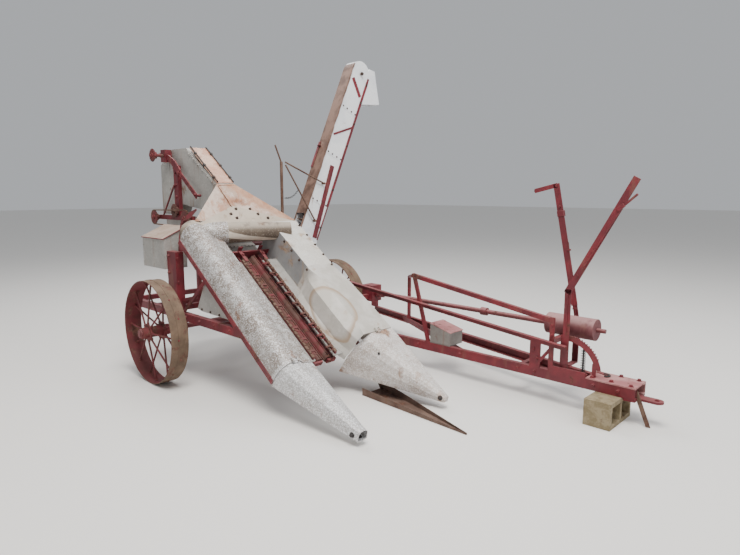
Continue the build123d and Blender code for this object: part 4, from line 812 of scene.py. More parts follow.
class Workshop:
    """Holds the materials and makes finished pieces."""

    def __init__(self, frame: dict, layout: Layout) -> None:
        """Builds every material.

        Args:
            layout: The machine's layout.
        """
        self.frame = frame
        self.layout = layout
        effects = Effects()
        self.materials = {tone: tone.value.build(effects, layout) for tone in Tone}

    def paint_nodes(self) -> None:
        """Gives every carried-over node its finish."""
        for tone, names in NODE_TONES.items():
            for name in names:
                node = self.frame["nodes"][name]
                node.data.materials.clear()
                node.data.materials.append(self.materials[tone])
                LOG.info("node %s: %s", name, tone.value.name)

    def finish(self, mesh: bmesh.types.BMesh, name: str, tone: Tone, body: str,
               smooth: bool = False) -> bpy.types.Object:
        """Turns a bmesh into a finished piece that rides on a body.

        Args:
            mesh: The mesh, in the row frame. It is freed.
            name: The piece's name.
            tone: Its finish.
            body: The body that it rides on.
            smooth: Whether its faces are smooth.

        Returns:
            The piece.
        """
        data = bpy.data.meshes.new(name)
        for face in mesh.faces:
            face.smooth = smooth
        mesh.to_mesh(data)
        mesh.free()
        piece = bpy.data.objects.new(name, data)
        bpy.context.scene.collection.objects.link(piece)
        data.materials.append(self.materials[tone])
        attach(piece, body)
        LOG.info("piece %s on %s: %d faces", name, body, len(data.polygons))
        return piece


def facing(direction: Sequence[float]) -> Matrix:
    """The turn that takes +Z to a direction."""
    return Vector(direction).to_track_quat("Z", "Y").to_matrix().to_4x4()


def add_cylinder(mesh: bmesh.types.BMesh, start: Vector, end: Vector, radius: float, sides: int = 12) -> None:
    """Adds a round bar between two places.

    Args:
        mesh: The bmesh to add to.
        start: One end's centre.
        end: The other end's centre.
        radius: The bar's radius.
        sides: How many sides its section has.
    """
    way = end - start
    turn = Matrix.Translation((start + end) / 2) @ facing(way)
    bmesh.ops.create_cone(mesh, cap_ends=True, segments=sides, radius1=radius, radius2=radius,
                          depth=way.length, matrix=turn)


def add_bolt(mesh: bmesh.types.BMesh, place: Vector, direction: Sequence[float], across: float = 0.019,
             turn: float = 0.0) -> None:
    """Adds a hexagon bolt head on a round washer.

    Args:
        mesh: The bmesh to add to.
        place: The centre of the washer's seat.
        direction: The way that the head faces.
        across: The head's width.
        turn: The head's turn about its own axis.
    """
    matrix = Matrix.Translation(place) @ facing(direction) @ Matrix.Rotation(turn, 4, "Z")
    washer = matrix @ Matrix.Translation((0, 0, WASHER_MIDDLE))
    bmesh.ops.create_cone(mesh, cap_ends=True, segments=16, radius1=across * WASHER_FOOT,
                          radius2=across * WASHER_TOP, depth=WASHER_THICK, matrix=washer)
    head = matrix @ Matrix.Translation((0, 0, WASHER_FACE + across * HEAD_HEIGHT / 2))
    bmesh.ops.create_cone(mesh, cap_ends=True, segments=6, radius1=across * HEAD_FOOT,
                          radius2=across * HEAD_TOP, depth=across * HEAD_HEIGHT, matrix=head)


def add_block(mesh: bmesh.types.BMesh, start: Vector, end: Vector, wide: float, high: float,
              side: Sequence[float] = ALONG_Y, bevel: float = 0.0) -> None:
    """Adds a bar of a flat section between two places.

    Args:
        mesh: The bmesh to add to.
        start: One end's centre.
        end: The other end's centre.
        wide: The section's size towards side.
        high: The section's size across side.
        side: The way that wide lies.
        bevel: The width of the rounding.
    """
    way = (end - start).normalized()
    across = (Vector(side) - way * way.dot(Vector(side))).normalized()
    turn = Matrix((across, way.cross(across), way)).transposed().to_4x4()
    matrix = Matrix.Translation((start + end) / 2) @ turn
    matrix = matrix @ Matrix.Diagonal((wide, high, (end - start).length, 1.0))
    made = bmesh.ops.create_cube(mesh, size=1.0, matrix=matrix)
    if bevel:
        edges = {edge for vert in made["verts"] for edge in vert.link_edges}
        bmesh.ops.bevel(mesh, geom=list(edges), offset=bevel, segments=2, profile=0.5, affect="EDGES",
                        material=-1)


def add_ring(mesh: bmesh.types.BMesh, centre: Vector, axis: Sequence[float], start: Sequence[float],
             radius: float, thick: float, angle: float = FULL_TURN, steps: int = 20) -> None:
    """Adds a round wire bent to a ring or to a part of one.

    Args:
        mesh: The bmesh to add to.
        centre: The ring's centre.
        axis: The ring's axis.
        start: The way from the centre to where the wire starts.
        radius: The ring's radius, to the wire's middle.
        thick: The wire's radius.
        angle: How far the wire goes round.
        steps: How many steps it takes.
    """
    way = Vector(start).normalized()
    turn = Matrix.Translation(centre + way * radius) @ facing(Vector(axis).cross(way))
    full = angle >= FULL_TURN
    verts = bmesh.ops.create_circle(mesh, cap_ends=not full, segments=8, radius=thick, matrix=turn)["verts"]
    edges = {edge for vert in verts for edge in vert.link_edges}
    faces = {face for vert in verts for face in vert.link_faces}
    spun = bmesh.ops.spin(mesh, geom=list(verts) + list(edges) + list(faces), cent=centre, axis=axis,
                          angle=angle, steps=steps, use_merge=full, use_duplicate=False)
    reached = faces | {face for item in spun["geom_last"] if isinstance(item, bmesh.types.BMVert)
                       for face in item.link_faces}
    front = list(reached)
    while front:
        face = front.pop()
        for edge in face.edges:
            for other in edge.link_faces:
                if other not in reached:
                    reached.add(other)
                    front.append(other)
    bmesh.ops.recalc_face_normals(mesh, faces=[face for face in reached if face.is_valid])


def add_dome(mesh: bmesh.types.BMesh, place: Vector, direction: Sequence[float], radius: float,
             flat: float = 0.55) -> None:
    """Adds a round rivet head.

    Args:
        mesh: The bmesh to add to.
        place: The centre of the head's seat.
        direction: The way that the head faces.
        radius: The head's radius.
        flat: The head's height as a share of its radius.
    """
    matrix = Matrix.Translation(place) @ facing(direction) @ Matrix.Diagonal((1.0, 1.0, flat, 1.0))
    bmesh.ops.create_uvsphere(mesh, u_segments=10, v_segments=6, radius=radius, matrix=matrix)


def add_chain(mesh: bmesh.types.BMesh, route: Sequence[Vector], side: Sequence[float], link: float,
              wide: float, high: float) -> None:
    """Lays the links of a chain along a route of straight runs.

    Args:
        mesh: The bmesh to add to.
        route: The route's corners.
        side: The way of the chain's pins.
        link: The chain's pitch.
        wide: The chain's width along its pins.
        high: The links' height.
    """
    for start, end in zip(route, route[1:]):
        count = max(1, round((end - start).length / link))
        for index in range(count):
            first, last = start.lerp(end, index / count), start.lerp(end, (index + LINK_SHARE) / count)
            add_block(mesh, first, last, wide * (1.0 if index % 2 else INNER_LINK_SHARE), high, side)


def round_route(centres: Sequence[tuple[Vector, float]], steps: int = 10) -> list[Vector]:
    """The route of a chain round two sprockets that turn about Y.

    Args:
        centres: The two sprockets' centres and pitch radii, the rear one first.
        steps: How many runs each half turn has.

    Returns:
        The route's corners, ending where it starts.
    """
    (rear, rear_radius), (front, front_radius) = centres
    route = []
    for centre, radius, first in ((front, front_radius, 90.0), (rear, rear_radius, 270.0)):
        for step in range(steps + 1):
            angle = math.radians(first - 180.0 * step / steps)
            route.append(centre + Vector((math.cos(angle) * radius, 0.0, math.sin(angle) * radius)))
    return route + [route[0]]


@dataclass
class BoltRow:
    """A straight row of bolts that face one way."""

    start: Vector
    end: Vector
    count: int
    direction: Sequence[float]
    across: float = 0.019

    def add(self, mesh: bmesh.types.BMesh, chance: random.Random) -> None:
        """Adds the row to a bmesh, each head turned by chance.

        Args:
            mesh: The bmesh to add to.
            chance: Where the turns are drawn from.
        """
        for index in range(self.count):
            share = index / max(1, self.count - 1)
            add_bolt(mesh, self.start.lerp(self.end, share), self.direction, self.across,
                     chance.uniform(0, math.pi))


@dataclass
class Fastenings:
    """The bolts that show, in rows along the seams and joints."""

    shop: Workshop
    seed: int = 7

    def build(self) -> None:
        """Builds one piece of bolts for each group of rows."""
        at, head = self.shop.layout.at, self.shop.layout.on_head
        right, front = Axis.RIGHT.value, Axis.FRONT.value
        chance = random.Random(self.seed)
        normal = (math.sin(HEAD_SLOPE), 0.0, math.cos(HEAD_SLOPE))
        groups: dict[str, tuple[Tone, list[BoltRow]]] = {
            "inner_divider_bolts": (Tone.BOLT, [
                BoltRow(head(0.25, 1.338, 0.340), head(0.82, 1.338, 0.340), 5, normal, 0.016),
                BoltRow(head(0.30, 1.060, 0.315), head(0.82, 1.060, 0.315), 5, right, 0.016),
            ]),
            "outer_divider_bolts": (Tone.CRIMSON, [
                BoltRow(head(0.16, 0.305, 0.030), head(1.60, 0.305, 0.030), 9, right, 0.018),
            ]),
            "post_bolts": (Tone.CRIMSON, [
                BoltRow(at(-0.10, 0.285, 0.64), at(-0.10, 0.285, 1.10), 4, right, 0.022),
                BoltRow(at(0.030, 0.302, 0.66), at(0.030, 0.302, 1.08), 3, front, 0.020),
            ]),
            "rail_bolts": (Tone.CRIMSON, [
                BoltRow(at(-1.05, 0.300, 0.565), at(0.85, 0.300, 0.565), 9, right, 0.022),
            ]),
            "skirt_bolts": (Tone.BOLT, [
                BoltRow(at(0.36, 0.338, 0.665), at(0.78, 0.338, 0.655), 4, right, 0.014),
            ]),
        }
        for name, (tone, rows) in groups.items():
            mesh = bmesh.new()
            for row in rows:
                row.add(mesh, chance)
            self.shop.finish(mesh, name, tone, "chassis")


@dataclass
class WheelTrim:
    """Rivets on one wheel's tread, nuts on its spokes and bolts on its hub."""

    shop: Workshop
    body: str
    near_y: float
    spokes: int = 16
    radius: float = WHEEL_RADIUS
    rim: float = 0.152
    rivet_out: float = 0.012
    rivet_sink: float = 0.0005
    lean_up: float = 0.366
    lean_in: float = 0.05
    foot_out: float = 0.0595
    foot_radius: float = 0.073
    end_out: float = 0.0145
    end_radius: float = 0.441
    cap_reach: float = 0.046
    cap_circle: float = 0.037
    cap_bolts: int = 4
    flange_out: float = 0.0682
    flange_circle: float = 0.062
    flange_rivets: int = 8

    def build(self) -> None:
        """Builds the wheel's rivets and its hub's fittings."""
        at, radius = self.shop.layout.at, self.radius
        middle = self.near_y + self.rim / 2
        rivets, fittings = bmesh.new(), bmesh.new()
        for turn in range(self.spokes):
            angle = FULL_TURN * turn / self.spokes
            side = 1 if turn % 2 else -1
            out = Vector((math.sin(angle), 0.0, math.cos(angle)))
            seat = at(0.0, middle + side * self.rivet_out, radius) + out * (radius - self.rivet_sink)
            add_dome(rivets, seat, out, 0.009, 0.35)
            foot = at(0.0, middle + side * self.foot_out, radius) + out * self.foot_radius
            lean = (out * self.lean_up - Vector((0.0, side * self.lean_in, 0.0))).normalized()
            add_bolt(fittings, foot, lean, 0.022, angle)
            end = at(0.0, middle + side * self.end_out, radius) + out * self.end_radius
            add_bolt(fittings, end, -lean, 0.020, angle)
        for side in (-1, 1):
            face = middle + side * (self.rim / 2 + self.cap_reach)
            for turn in range(self.cap_bolts):
                angle = math.pi / self.cap_bolts + turn * FULL_TURN / self.cap_bolts
                place = at(self.cap_circle * math.sin(angle), face,
                           radius + self.cap_circle * math.cos(angle))
                add_bolt(fittings, place, (0.0, side, 0.0), 0.011, angle)
            for turn in range(self.flange_rivets):
                angle = math.pi / self.flange_rivets + turn * FULL_TURN / self.flange_rivets
                place = at(self.flange_circle * math.sin(angle), middle + side * self.flange_out,
                           radius + self.flange_circle * math.cos(angle))
                add_dome(fittings, place, (0.0, side, 0.0), 0.006, 0.6)
        self.shop.finish(rivets, f"{self.body}_rivets", Tone.HUB, self.body, True)
        self.shop.finish(fittings, f"{self.body}_fittings", Tone.HUB, self.body)


@dataclass(frozen=True)
class Shaft:
    """A shaft of the drive, with its sprocket."""

    x: float
    z: float
    radius: float
    end_y: float


@dataclass
class DriveTrim:
    """The teeth, the chain and the bearings of the drive on the first elevator's side."""

    shop: Workshop
    shafts: tuple[Shaft, ...] = (Shaft(-0.930, 2.040, 0.058, 0.560), Shaft(-0.740, 1.480, 0.062, 0.670),
                                 Shaft(-1.130, 1.408, 0.066, 0.640), Shaft(-0.470, 1.408, 0.078, 0.640))
    tooth_pitch: float = 0.024
    tooth_middle: float = 0.016
    bearing_start: float = 0.024
    bearing_end: float = 0.052
    chain_rise: float = 0.007
    strap_bolts: tuple[Place, ...] = ((-1.02, 0.7, 2.055), (-0.965, 0.7, 2.035), (-0.64, 0.7045, 1.862),
                                      (-0.34, 0.7045, 1.641))
    post_bolts: tuple[Place, ...] = ((-0.743, 0.7195, 1.50), (-0.743, 0.7195, 1.62), (-0.743, 0.7195, 1.74),
                                     (-0.743, 0.7195, 1.86))

    def build(self) -> None:
        """Builds the drive's fittings."""
        at, right = self.shop.layout.at, Axis.RIGHT.value
        teeth, housings, chain, bolts = bmesh.new(), bmesh.new(), bmesh.new(), bmesh.new()
        for shaft in self.shafts:
            self.add_teeth(teeth, shaft)
            x, z, end = shaft.x, shaft.z, shaft.end_y
            bearing = at(x, end + self.bearing_start, z)
            add_cylinder(housings, bearing, at(x, end + self.bearing_end, z), 0.036, 18)
            add_bolt(housings, at(x, end, z), right, 0.024)
            add_ring(housings, bearing, ALONG_Y, ALONG_X, 0.034, 0.004)
        wheels = [(at(shaft.x, shaft.end_y + self.tooth_middle, shaft.z), shaft.radius + self.chain_rise)
                  for shaft in self.shafts[2:]]
        add_chain(chain, round_route(wheels), ALONG_Y, 0.026, 0.016, 0.012)
        for place in self.strap_bolts:
            add_bolt(bolts, at(*place), right, 0.022)
        for place in self.post_bolts:
            add_bolt(bolts, at(*place), right, 0.020)
        self.shop.finish(teeth, "drive_sprocket_teeth", Tone.DRIVE, "chassis")
        self.shop.finish(housings, "drive_bearings", Tone.DRIVE, "chassis")
        self.shop.finish(chain, "drive_chain", Tone.RUST, "chassis")
        self.shop.finish(bolts, "drive_frame_bolts", Tone.CRIMSON, "chassis")

    def add_teeth(self, mesh: bmesh.types.BMesh, shaft: Shaft) -> None:
        """Adds the teeth and the boss of one sprocket.

        Args:
            mesh: The bmesh to add to.
            shaft: The sprocket's shaft.
        """
        at = self.shop.layout.at
        count = round(FULL_TURN * shaft.radius / self.tooth_pitch)
        middle = at(shaft.x, shaft.end_y + self.tooth_middle, shaft.z)
        for tooth in range(count):
            angle = FULL_TURN * tooth / count
            out = Vector((math.sin(angle), 0.0, math.cos(angle)))
            root, tip = middle + out * (shaft.radius - 0.003), middle + out * (shaft.radius + 0.008)
            add_block(mesh, root, tip, 0.008, 0.009)
        add_cylinder(mesh, at(shaft.x, shaft.end_y - 0.004, shaft.z),
                     at(shaft.x, shaft.end_y + 0.010, shaft.z), 0.027, 16)


@dataclass
class GatheringTrim:
    """The links and the bent wire fingers of the two gathering chains."""

    shop: Workshop
    start: float = 0.420
    length: float = 1.180
    rise: float = 0.122
    lugs: int = 9
    first_lug: float = 0.060
    lug_pitch: float = 0.130
    lug_reach: float = 0.058
    rows: tuple[tuple[str, float, int], ...] = (("right", 0.690, 1), ("left", 0.926, -1))

    def build(self) -> None:
        """Builds both chains' fittings."""
        head, layout = self.shop.layout.on_head, self.shop.layout
        for name, y, side in self.rows:
            links, fingers = bmesh.new(), bmesh.new()
            route = [head(self.start, y, self.rise), head(self.start + self.length, y, self.rise)]
            add_chain(links, route, ALONG_Y, 0.042, 0.026, 0.010)
            for index in range(self.lugs):
                along = self.start + self.first_lug + index * self.lug_pitch
                lug = along + 0.007
                add_ring(fingers, head(along + 0.028, y + side * 0.030, 0.126), layout.off_head,
                         (0.0, -side, 0.0), 0.026, 0.0045, side * math.pi, 10)
                add_block(fingers, head(lug, y, 0.121), head(lug, y + side * self.lug_reach, 0.121),
                          0.020, 0.006, layout.down_head, 0.001)
                add_dome(fingers, head(lug, y, 0.127), layout.off_head, 0.007)
            self.shop.finish(links, f"gathering_links_{name}", Tone.RUST, "chassis")
            self.shop.finish(fingers, f"gathering_fingers_{name}", Tone.DRIVE, "chassis")


@dataclass
class ThroatTrim:
    """The toothed strip at the throat's mouth and the red brackets below it."""

    shop: Workshop
    teeth: int = 7
    first_y: float = 0.800
    last_y: float = 1.040
    strip_along: float = 0.084
    tooth_along: float = 0.099
    tooth_shift: float = 0.012
    bracket_ys: tuple[float, ...] = (0.742, 0.958)

    def build(self) -> None:
        """Builds the strip and the brackets."""
        head, layout = self.shop.layout.on_head, self.shop.layout
        strip, brackets = bmesh.new(), bmesh.new()
        add_block(strip, head(self.strip_along, self.first_y - 0.10, 0.006),
                  head(self.strip_along, self.last_y, 0.006), 0.030, 0.005, layout.down_head, 0.001)
        for tooth in range(self.teeth):
            y = self.first_y + (self.last_y - self.first_y) * tooth / (self.teeth - 1) - self.tooth_shift
            add_cylinder(strip, head(self.tooth_along, y, 0.004), head(self.tooth_along, y, 0.009), 0.017, 12)
        for y in self.bracket_ys:
            add_block(brackets, head(0.276, y, 0.070), head(0.276, y, 0.150), 0.040, 0.010, bevel=0.002)
            add_block(brackets, head(0.262, y, 0.104), head(0.420, y, 0.104), 0.030, 0.010, bevel=0.002)
            add_bolt(brackets, head(0.340, y, 0.1095), layout.off_head, 0.022)
        self.shop.finish(strip, "throat_comb", Tone.CREAM_ZINC, "chassis")
        self.shop.finish(brackets, "throat_brackets", Tone.CRIMSON, "chassis")


@dataclass
class HoodTrim:
    """The sleeve of the elbow, and the bolts and the seams of the hood and the apron."""

    shop: Workshop
    elbow: Place = (0.1188, 0.425, 1.3009)
    tube_end: Place = (0.4996, 1.200, 1.3147)
    sleeve: tuple[tuple[float, float], ...] = ((0.004, 0.1086), (0.100, 0.1055), (0.200, 0.1020),
                                               (0.292, 0.0990))
    sleeve_sides: int = 40
    normal: Place = (0.770, -0.174, 0.614)
    seam_lift: float = 0.003
    holes: tuple[Place, ...] = (
        (0.1917, 0.8186, 1.5132), (0.2065, 0.9609, 1.5106), (0.2113, 0.7515, 1.4695),
        (0.2489, 0.7893, 1.4331), (0.2723, 1.0033, 1.4645), (0.3205, 1.0811, 1.4261))
    seams: tuple[tuple[Place, Place], ...] = (
        ((-0.0062, 0.7597, 1.7239), (0.1706, 0.7903, 1.5316)),
        ((-0.012, 0.764, 1.729), (-0.012, 0.936, 1.729)))

    def build(self) -> None:
        """Builds the hood's fittings."""
        at = self.shop.layout.at
        bolts, seams = bmesh.new(), bmesh.new()
        for place in self.holes:
            add_bolt(bolts, at(*place), self.normal, 0.020)
        lift = Vector(self.normal) * self.seam_lift
        for start, end in self.seams:
            add_block(seams, at(*start) + lift, at(*end) + lift, 0.016, 0.005, self.normal, 0.001)
        self.build_sleeve()
        self.shop.finish(bolts, "hood_bolts", Tone.BOLT, "chassis")
        self.shop.finish(seams, "hood_seams", Tone.HOOD, "chassis")

    def build_sleeve(self) -> None:
        """Builds the sleeve that joins the elbow to the cross tube."""
        elbow = self.shop.layout.at(*self.elbow)
        way = (self.shop.layout.at(*self.tube_end) - elbow).normalized()
        skin, loops = bmesh.new(), []
        for along, radius in self.sleeve:
            ring = bmesh.ops.create_circle(skin, cap_ends=False, segments=self.sleeve_sides, radius=radius,
                                           matrix=Matrix.Translation(elbow + way * along) @ facing(way))
            loops.append({edge for vert in ring["verts"] for edge in vert.link_edges})
        for near, far in zip(loops, loops[1:]):
            bmesh.ops.bridge_loops(skin, edges=list(near | far))
        bmesh.ops.holes_fill(skin, edges=[edge for edge in skin.edges if edge.is_boundary], sides=0)
        bmesh.ops.recalc_face_normals(skin, faces=skin.faces)
        self.shop.finish(skin, "elbow_sleeve", Tone.SPECKLED, "chassis")


@dataclass
class ElevatorTrim:
    """The rims, the clips and the seams of the first elevator and its cover."""

    shop: Workshop
    cover_start: float = -0.975
    cover_end: float = -0.383
    cover_rise: float = 0.394
    near_y: float = 0.760
    far_y: float = 0.940
    clips: tuple[float, ...] = (-0.86, -0.66, -0.46)
    seam_start: float = -0.40
    seam_length: float = 0.60
    seam_rise: float = 0.345
    seam_drop: float = 0.020
    seam_bolts: tuple[float, ...] = (-0.45, -0.55, -0.65, -0.75, -0.85, -0.95)

    def build(self) -> None:
        """Builds the first elevator's fittings."""
        head, at, near = self.shop.layout.on_head, self.shop.layout.at, self.near_y
        rims, seams = bmesh.new(), bmesh.new()
        for y in (near + 0.006, self.far_y - 0.006):
            add_cylinder(rims, head(self.cover_start, y, self.cover_rise),
                         head(self.cover_end, y, self.cover_rise), 0.007, 10)
        for along in self.clips:
            for y in (near + 0.004, self.far_y - 0.004):
                add_block(rims, head(along - 0.014, y, 0.392), head(along + 0.014, y, 0.392), 0.022, 0.022,
                          bevel=0.002)
        add_block(seams, head(self.seam_start, near, self.seam_rise),
                  head(self.seam_start - self.seam_length, near, self.seam_rise - self.seam_drop),
                  0.008, 0.022, bevel=0.001)
        add_block(seams, head(-0.378, near, 0.08), head(-0.378, near, 0.37), 0.008, 0.024, bevel=0.001)
        for along in self.seam_bolts:
            share = (self.seam_start - along) / self.seam_length
            add_bolt(seams, head(along, near - 0.004, self.seam_rise - self.seam_drop * share),
                     Axis.RIGHT.value, 0.016)
        add_block(seams, at(-0.95, near, 1.62), at(-0.95, near, 1.96), 0.008, 0.024, bevel=0.001)
        self.shop.finish(rims, "cover_rims", Tone.BLACK, "chassis")
        self.shop.finish(seams, "first_elevator_seams", Tone.GREY, "chassis")


@dataclass
class WagonTrim:
    """The lap seams, the bolts, the red hanger and the red edge angle of the wagon elevator."""

    shop: Workshop
    front_x: float = -0.500
    pivot: tuple[float, float] = (2.170, 0.980)
    angle: float = math.radians(65.7)
    half: float = 0.155
    length: float = 2.375
    hanger_out: float = -0.150
    hanger_normal: Place = (0.0, 0.9114, -0.4115)
    laps: tuple[float, ...] = (0.62, 1.24, 1.86)
    lap_bolts: tuple[float, ...] = (-0.11, -0.04, 0.04, 0.11)
    edge_bolts: tuple[float, ...] = (0.35, 0.85, 1.45, 1.75, 2.05, 2.30)

    def on_side(self, up: float, across: float, out: float = 0.0) -> Vector:
        """A place on the elevator's front wall.

        Args:
            up: Distance up the elevator from its foot shaft.
            across: Distance from its middle line towards its lower edge.
            out: Distance in front of the wall.

        Returns:
            The place in the row frame.
        """
        way = (math.cos(self.angle), math.sin(self.angle))
        return self.shop.layout.at(self.front_x + out, self.pivot[0] + up * way[0] + across * way[1],
                                   self.pivot[1] + up * way[1] - across * way[0])

    def build(self) -> None:
        """Builds the wagon elevator's fittings."""
        self.build_seams()
        self.build_bolts()
        self.build_hanger()

    def build_seams(self) -> None:
        """Builds the lap seams and the folded upper edge of the front wall."""
        side, half, mesh = self.on_side, self.half, bmesh.new()
        for up in self.laps:
            add_block(mesh, side(up, 0.004 - half, 0.002), side(up, half - 0.004, 0.002), 0.004, 0.034,
                      ALONG_X, 0.001)
        add_block(mesh, side(0.05, 0.010 - half, 0.003), side(2.37, 0.010 - half, 0.003), 0.006, 0.018,
                  ALONG_X, 0.001)
        self.shop.finish(mesh, "wagon_elevator_seams", Tone.PALE, "wagon_elevator")

    def build_bolts(self) -> None:
        """Builds the bolts of the laps, the edge and the two end shafts."""
        side, front, mesh = self.on_side, Axis.FRONT.value, bmesh.new()
        for up in self.laps:
            for across in self.lap_bolts:
                add_bolt(mesh, side(up + 0.008, across, 0.004), front, 0.014)
        for up in self.edge_bolts:
            add_bolt(mesh, side(up, self.half - 0.016, 0.008), front, 0.018)
        for up in (0.0, self.length):
            add_bolt(mesh, side(up, 0.0, 0.024), front, 0.030)
        self.shop.finish(mesh, "wagon_elevator_bolts", Tone.BOLT, "wagon_elevator")

    def build_hanger(self) -> None:
        """Builds the red hanger on the upper edge and the red angle along the lower edge."""
        side, half, out, mesh = self.on_side, self.half, self.hanger_out, bmesh.new()
        add_block(mesh, side(1.36, -half - 0.006, out), side(1.02, -half - 0.006, out), 0.034, 0.008,
                  ALONG_X, 0.002)
        add_block(mesh, side(1.30, -half - 0.012, out), side(1.30, -half - 0.012, out + 0.045), 0.040,
                  0.007, self.hanger_normal, 0.001)
        add_block(mesh, side(0.62, half - 0.015, 0.0045), side(2.34, half - 0.015, 0.0045), 0.007, 0.034,
                  ALONG_X, 0.001)
        self.shop.finish(mesh, "wagon_elevator_hanger", Tone.CRIMSON, "wagon_elevator")


@dataclass
class LeverTrim:
    """The blades, the latch rods and handles, the notches and the spring of the two levers."""

    shop: Workshop
    lift_y: float = 2.350
    lift_pivot: tuple[float, float] = (2.800, 0.600)
    height_y: float = 2.010
    height_pivot: tuple[float, float] = (2.865, 0.297)
    bend: tuple[float, float] = (2.862, 0.920)
    grip: tuple[float, float] = (3.306, 1.762)
    blade: float = 0.006
    notches: int = 12
    first_notch: float = 28.0
    notch_step: float = 4.6
    coils: int = 9
    coil_radius: float = 0.016
    coil_steps: int = 12

    def build(self) -> None:
        """Builds both levers' fittings, the quadrant's notches and the spring."""
        self.build_lift()
        self.build_height()
        self.build_notches()
        self.build_spring()

    def add_blade(self, mesh: bmesh.types.BMesh, y: float, start: tuple[float, float],
                  end: tuple[float, float], wide: float) -> None:
        """Adds a blade to the near face of a lever.

        Args:
            mesh: The bmesh to add to.
            y: Layout Y of the lever's near face.
            start: Layout X and Z of one end.
            end: Layout X and Z of the other end.
            wide: The blade's width.
        """
        at, middle = self.shop.layout.at, y - self.blade / 2
        add_block(mesh, at(start[0], middle, start[1]), at(end[0], middle, end[1]), self.blade, wide,
                  bevel=0.0015)

    def build_lift(self) -> None:
        """Builds the collar, the rod, the blades and the pivot bolt of the lift lever."""
        at, y, right, mesh = self.shop.layout.at, self.lift_y, Axis.RIGHT.value, bmesh.new()
        add_block(mesh, at(2.606, y + 0.006, 1.515), at(2.615, y + 0.006, 1.468), 0.036, 0.056, bevel=0.003)
        add_bolt(mesh, at(2.600, y, 1.548), right, 0.022)
        add_bolt(mesh, at(2.563, y, 1.718), right, 0.024)
        add_cylinder(mesh, at(2.690, y - 0.007, 1.262), at(2.790, y - 0.007, 0.640), 0.005, 8)
        for x, z in ((2.700, 1.20), (2.777, 0.72)):
            add_block(mesh, at(x - 0.020, y - 0.004, z), at(x + 0.012, y - 0.004, z), 0.018, 0.014,
                      bevel=0.001)
        add_ring(mesh, at(2.376, y + 0.006, 1.676), ALONG_Y, (-1.0, 0.0, 0.0), 0.011, 0.004)
        add_bolt(mesh, at(self.lift_pivot[0], y, self.lift_pivot[1]), right, 0.030)
        self.add_blade(mesh, y, (2.770, 0.745), (2.5605, 1.733), 0.054)
        self.add_blade(mesh, y, (2.570, 1.723), (2.372, 1.675), 0.036)
        self.shop.finish(mesh, "lift_lever_fittings", Tone.CRIMSON, "lift_lever")

    def build_height(self) -> None:
        """Builds the blades, the rods, the latch handle and the bolts of the height lever."""
        at, y, right, mesh = self.shop.layout.at, self.height_y, Axis.RIGHT.value, bmesh.new()
        bend = at(self.bend[0], y, self.bend[1])
        way = (at(self.grip[0], y, self.grip[1]) - bend).normalized()
        across = Vector((way.z, 0.0, -way.x))
        face = Vector((0.0, -self.blade / 2, 0.0))
        add_block(mesh, bend + face - way * 0.02, bend + face + way * 0.955, self.blade, 0.054, bevel=0.0015)
        self.add_blade(mesh, y, (2.8646, 0.345), (2.862, 0.935), 0.052)
        for up in (0.14, 0.36):
            add_bolt(mesh, bend + way * up, right, 0.020)
        rod = bend + Vector((0.0, -0.011, 0.0))
        add_cylinder(mesh, rod + way * 0.20 + across * 0.008, rod + way * 0.74 + across * 0.022, 0.0045, 8)
        add_block(mesh, at(3.196, y - 0.004, 1.540), at(3.318, y - 0.004, 1.652), 0.012, 0.016, bevel=0.003)
        add_block(mesh, rod + way * 0.70, rod + way * 0.755 + across * 0.022, 0.012, 0.030, bevel=0.002)
        add_cylinder(mesh, at(2.862, y - 0.011, 0.900), at(2.864, y - 0.011, 0.600), 0.005, 8)
        add_bolt(mesh, at(self.height_pivot[0], y, self.height_pivot[1]), right, 0.024)
        self.shop.finish(mesh, "height_lever_fittings", Tone.CRIMSON, "height_lever")

    def build_notches(self) -> None:
        """Builds the notches along the quadrant's edge."""
        mesh = bmesh.new()
        centre = self.shop.layout.at(self.height_pivot[0], self.height_y + 0.018, self.height_pivot[1])
        for notch in range(self.notches):
            angle = math.radians(self.first_notch + notch * self.notch_step)
            out = Vector((math.cos(angle), 0.0, math.sin(angle)))
            add_block(mesh, centre + out * 0.272, centre + out * 0.283, 0.008, 0.010, bevel=0.001)
        self.shop.finish(mesh, "quadrant_notches", Tone.CRIMSON, "chassis")

    def build_spring(self) -> None:
        """Builds the coil spring beside the quadrant, on its rod."""
        at, y, mesh = self.shop.layout.at, self.height_y + 0.052, bmesh.new()
        low, high = at(2.985, y, 0.300), at(2.985, y, 0.470)
        start = Matrix.Translation(low + Vector((self.coil_radius, 0.0, 0.0))) @ facing(ALONG_Y)
        verts = bmesh.ops.create_circle(mesh, cap_ends=True, segments=6, radius=0.003, matrix=start)["verts"]
        edges = {edge for vert in verts for edge in vert.link_edges}
        faces = {face for vert in verts for face in vert.link_faces}
        steps = self.coils * self.coil_steps
        bmesh.ops.spin(mesh, geom=list(verts) + list(edges) + list(faces), cent=low, axis=Axis.UP.value,
                       dvec=(high - low) / steps, angle=self.coils * FULL_TURN, steps=steps,
                       use_duplicate=False)
        bmesh.ops.recalc_face_normals(mesh, faces=mesh.faces)
        add_cylinder(mesh, low - Vector((0.0, 0.0, 0.018)), high + Vector((0.0, 0.0, 0.020)), 0.007, 10)
        self.shop.finish(mesh, "quadrant_spring", Tone.BLACK, "chassis")


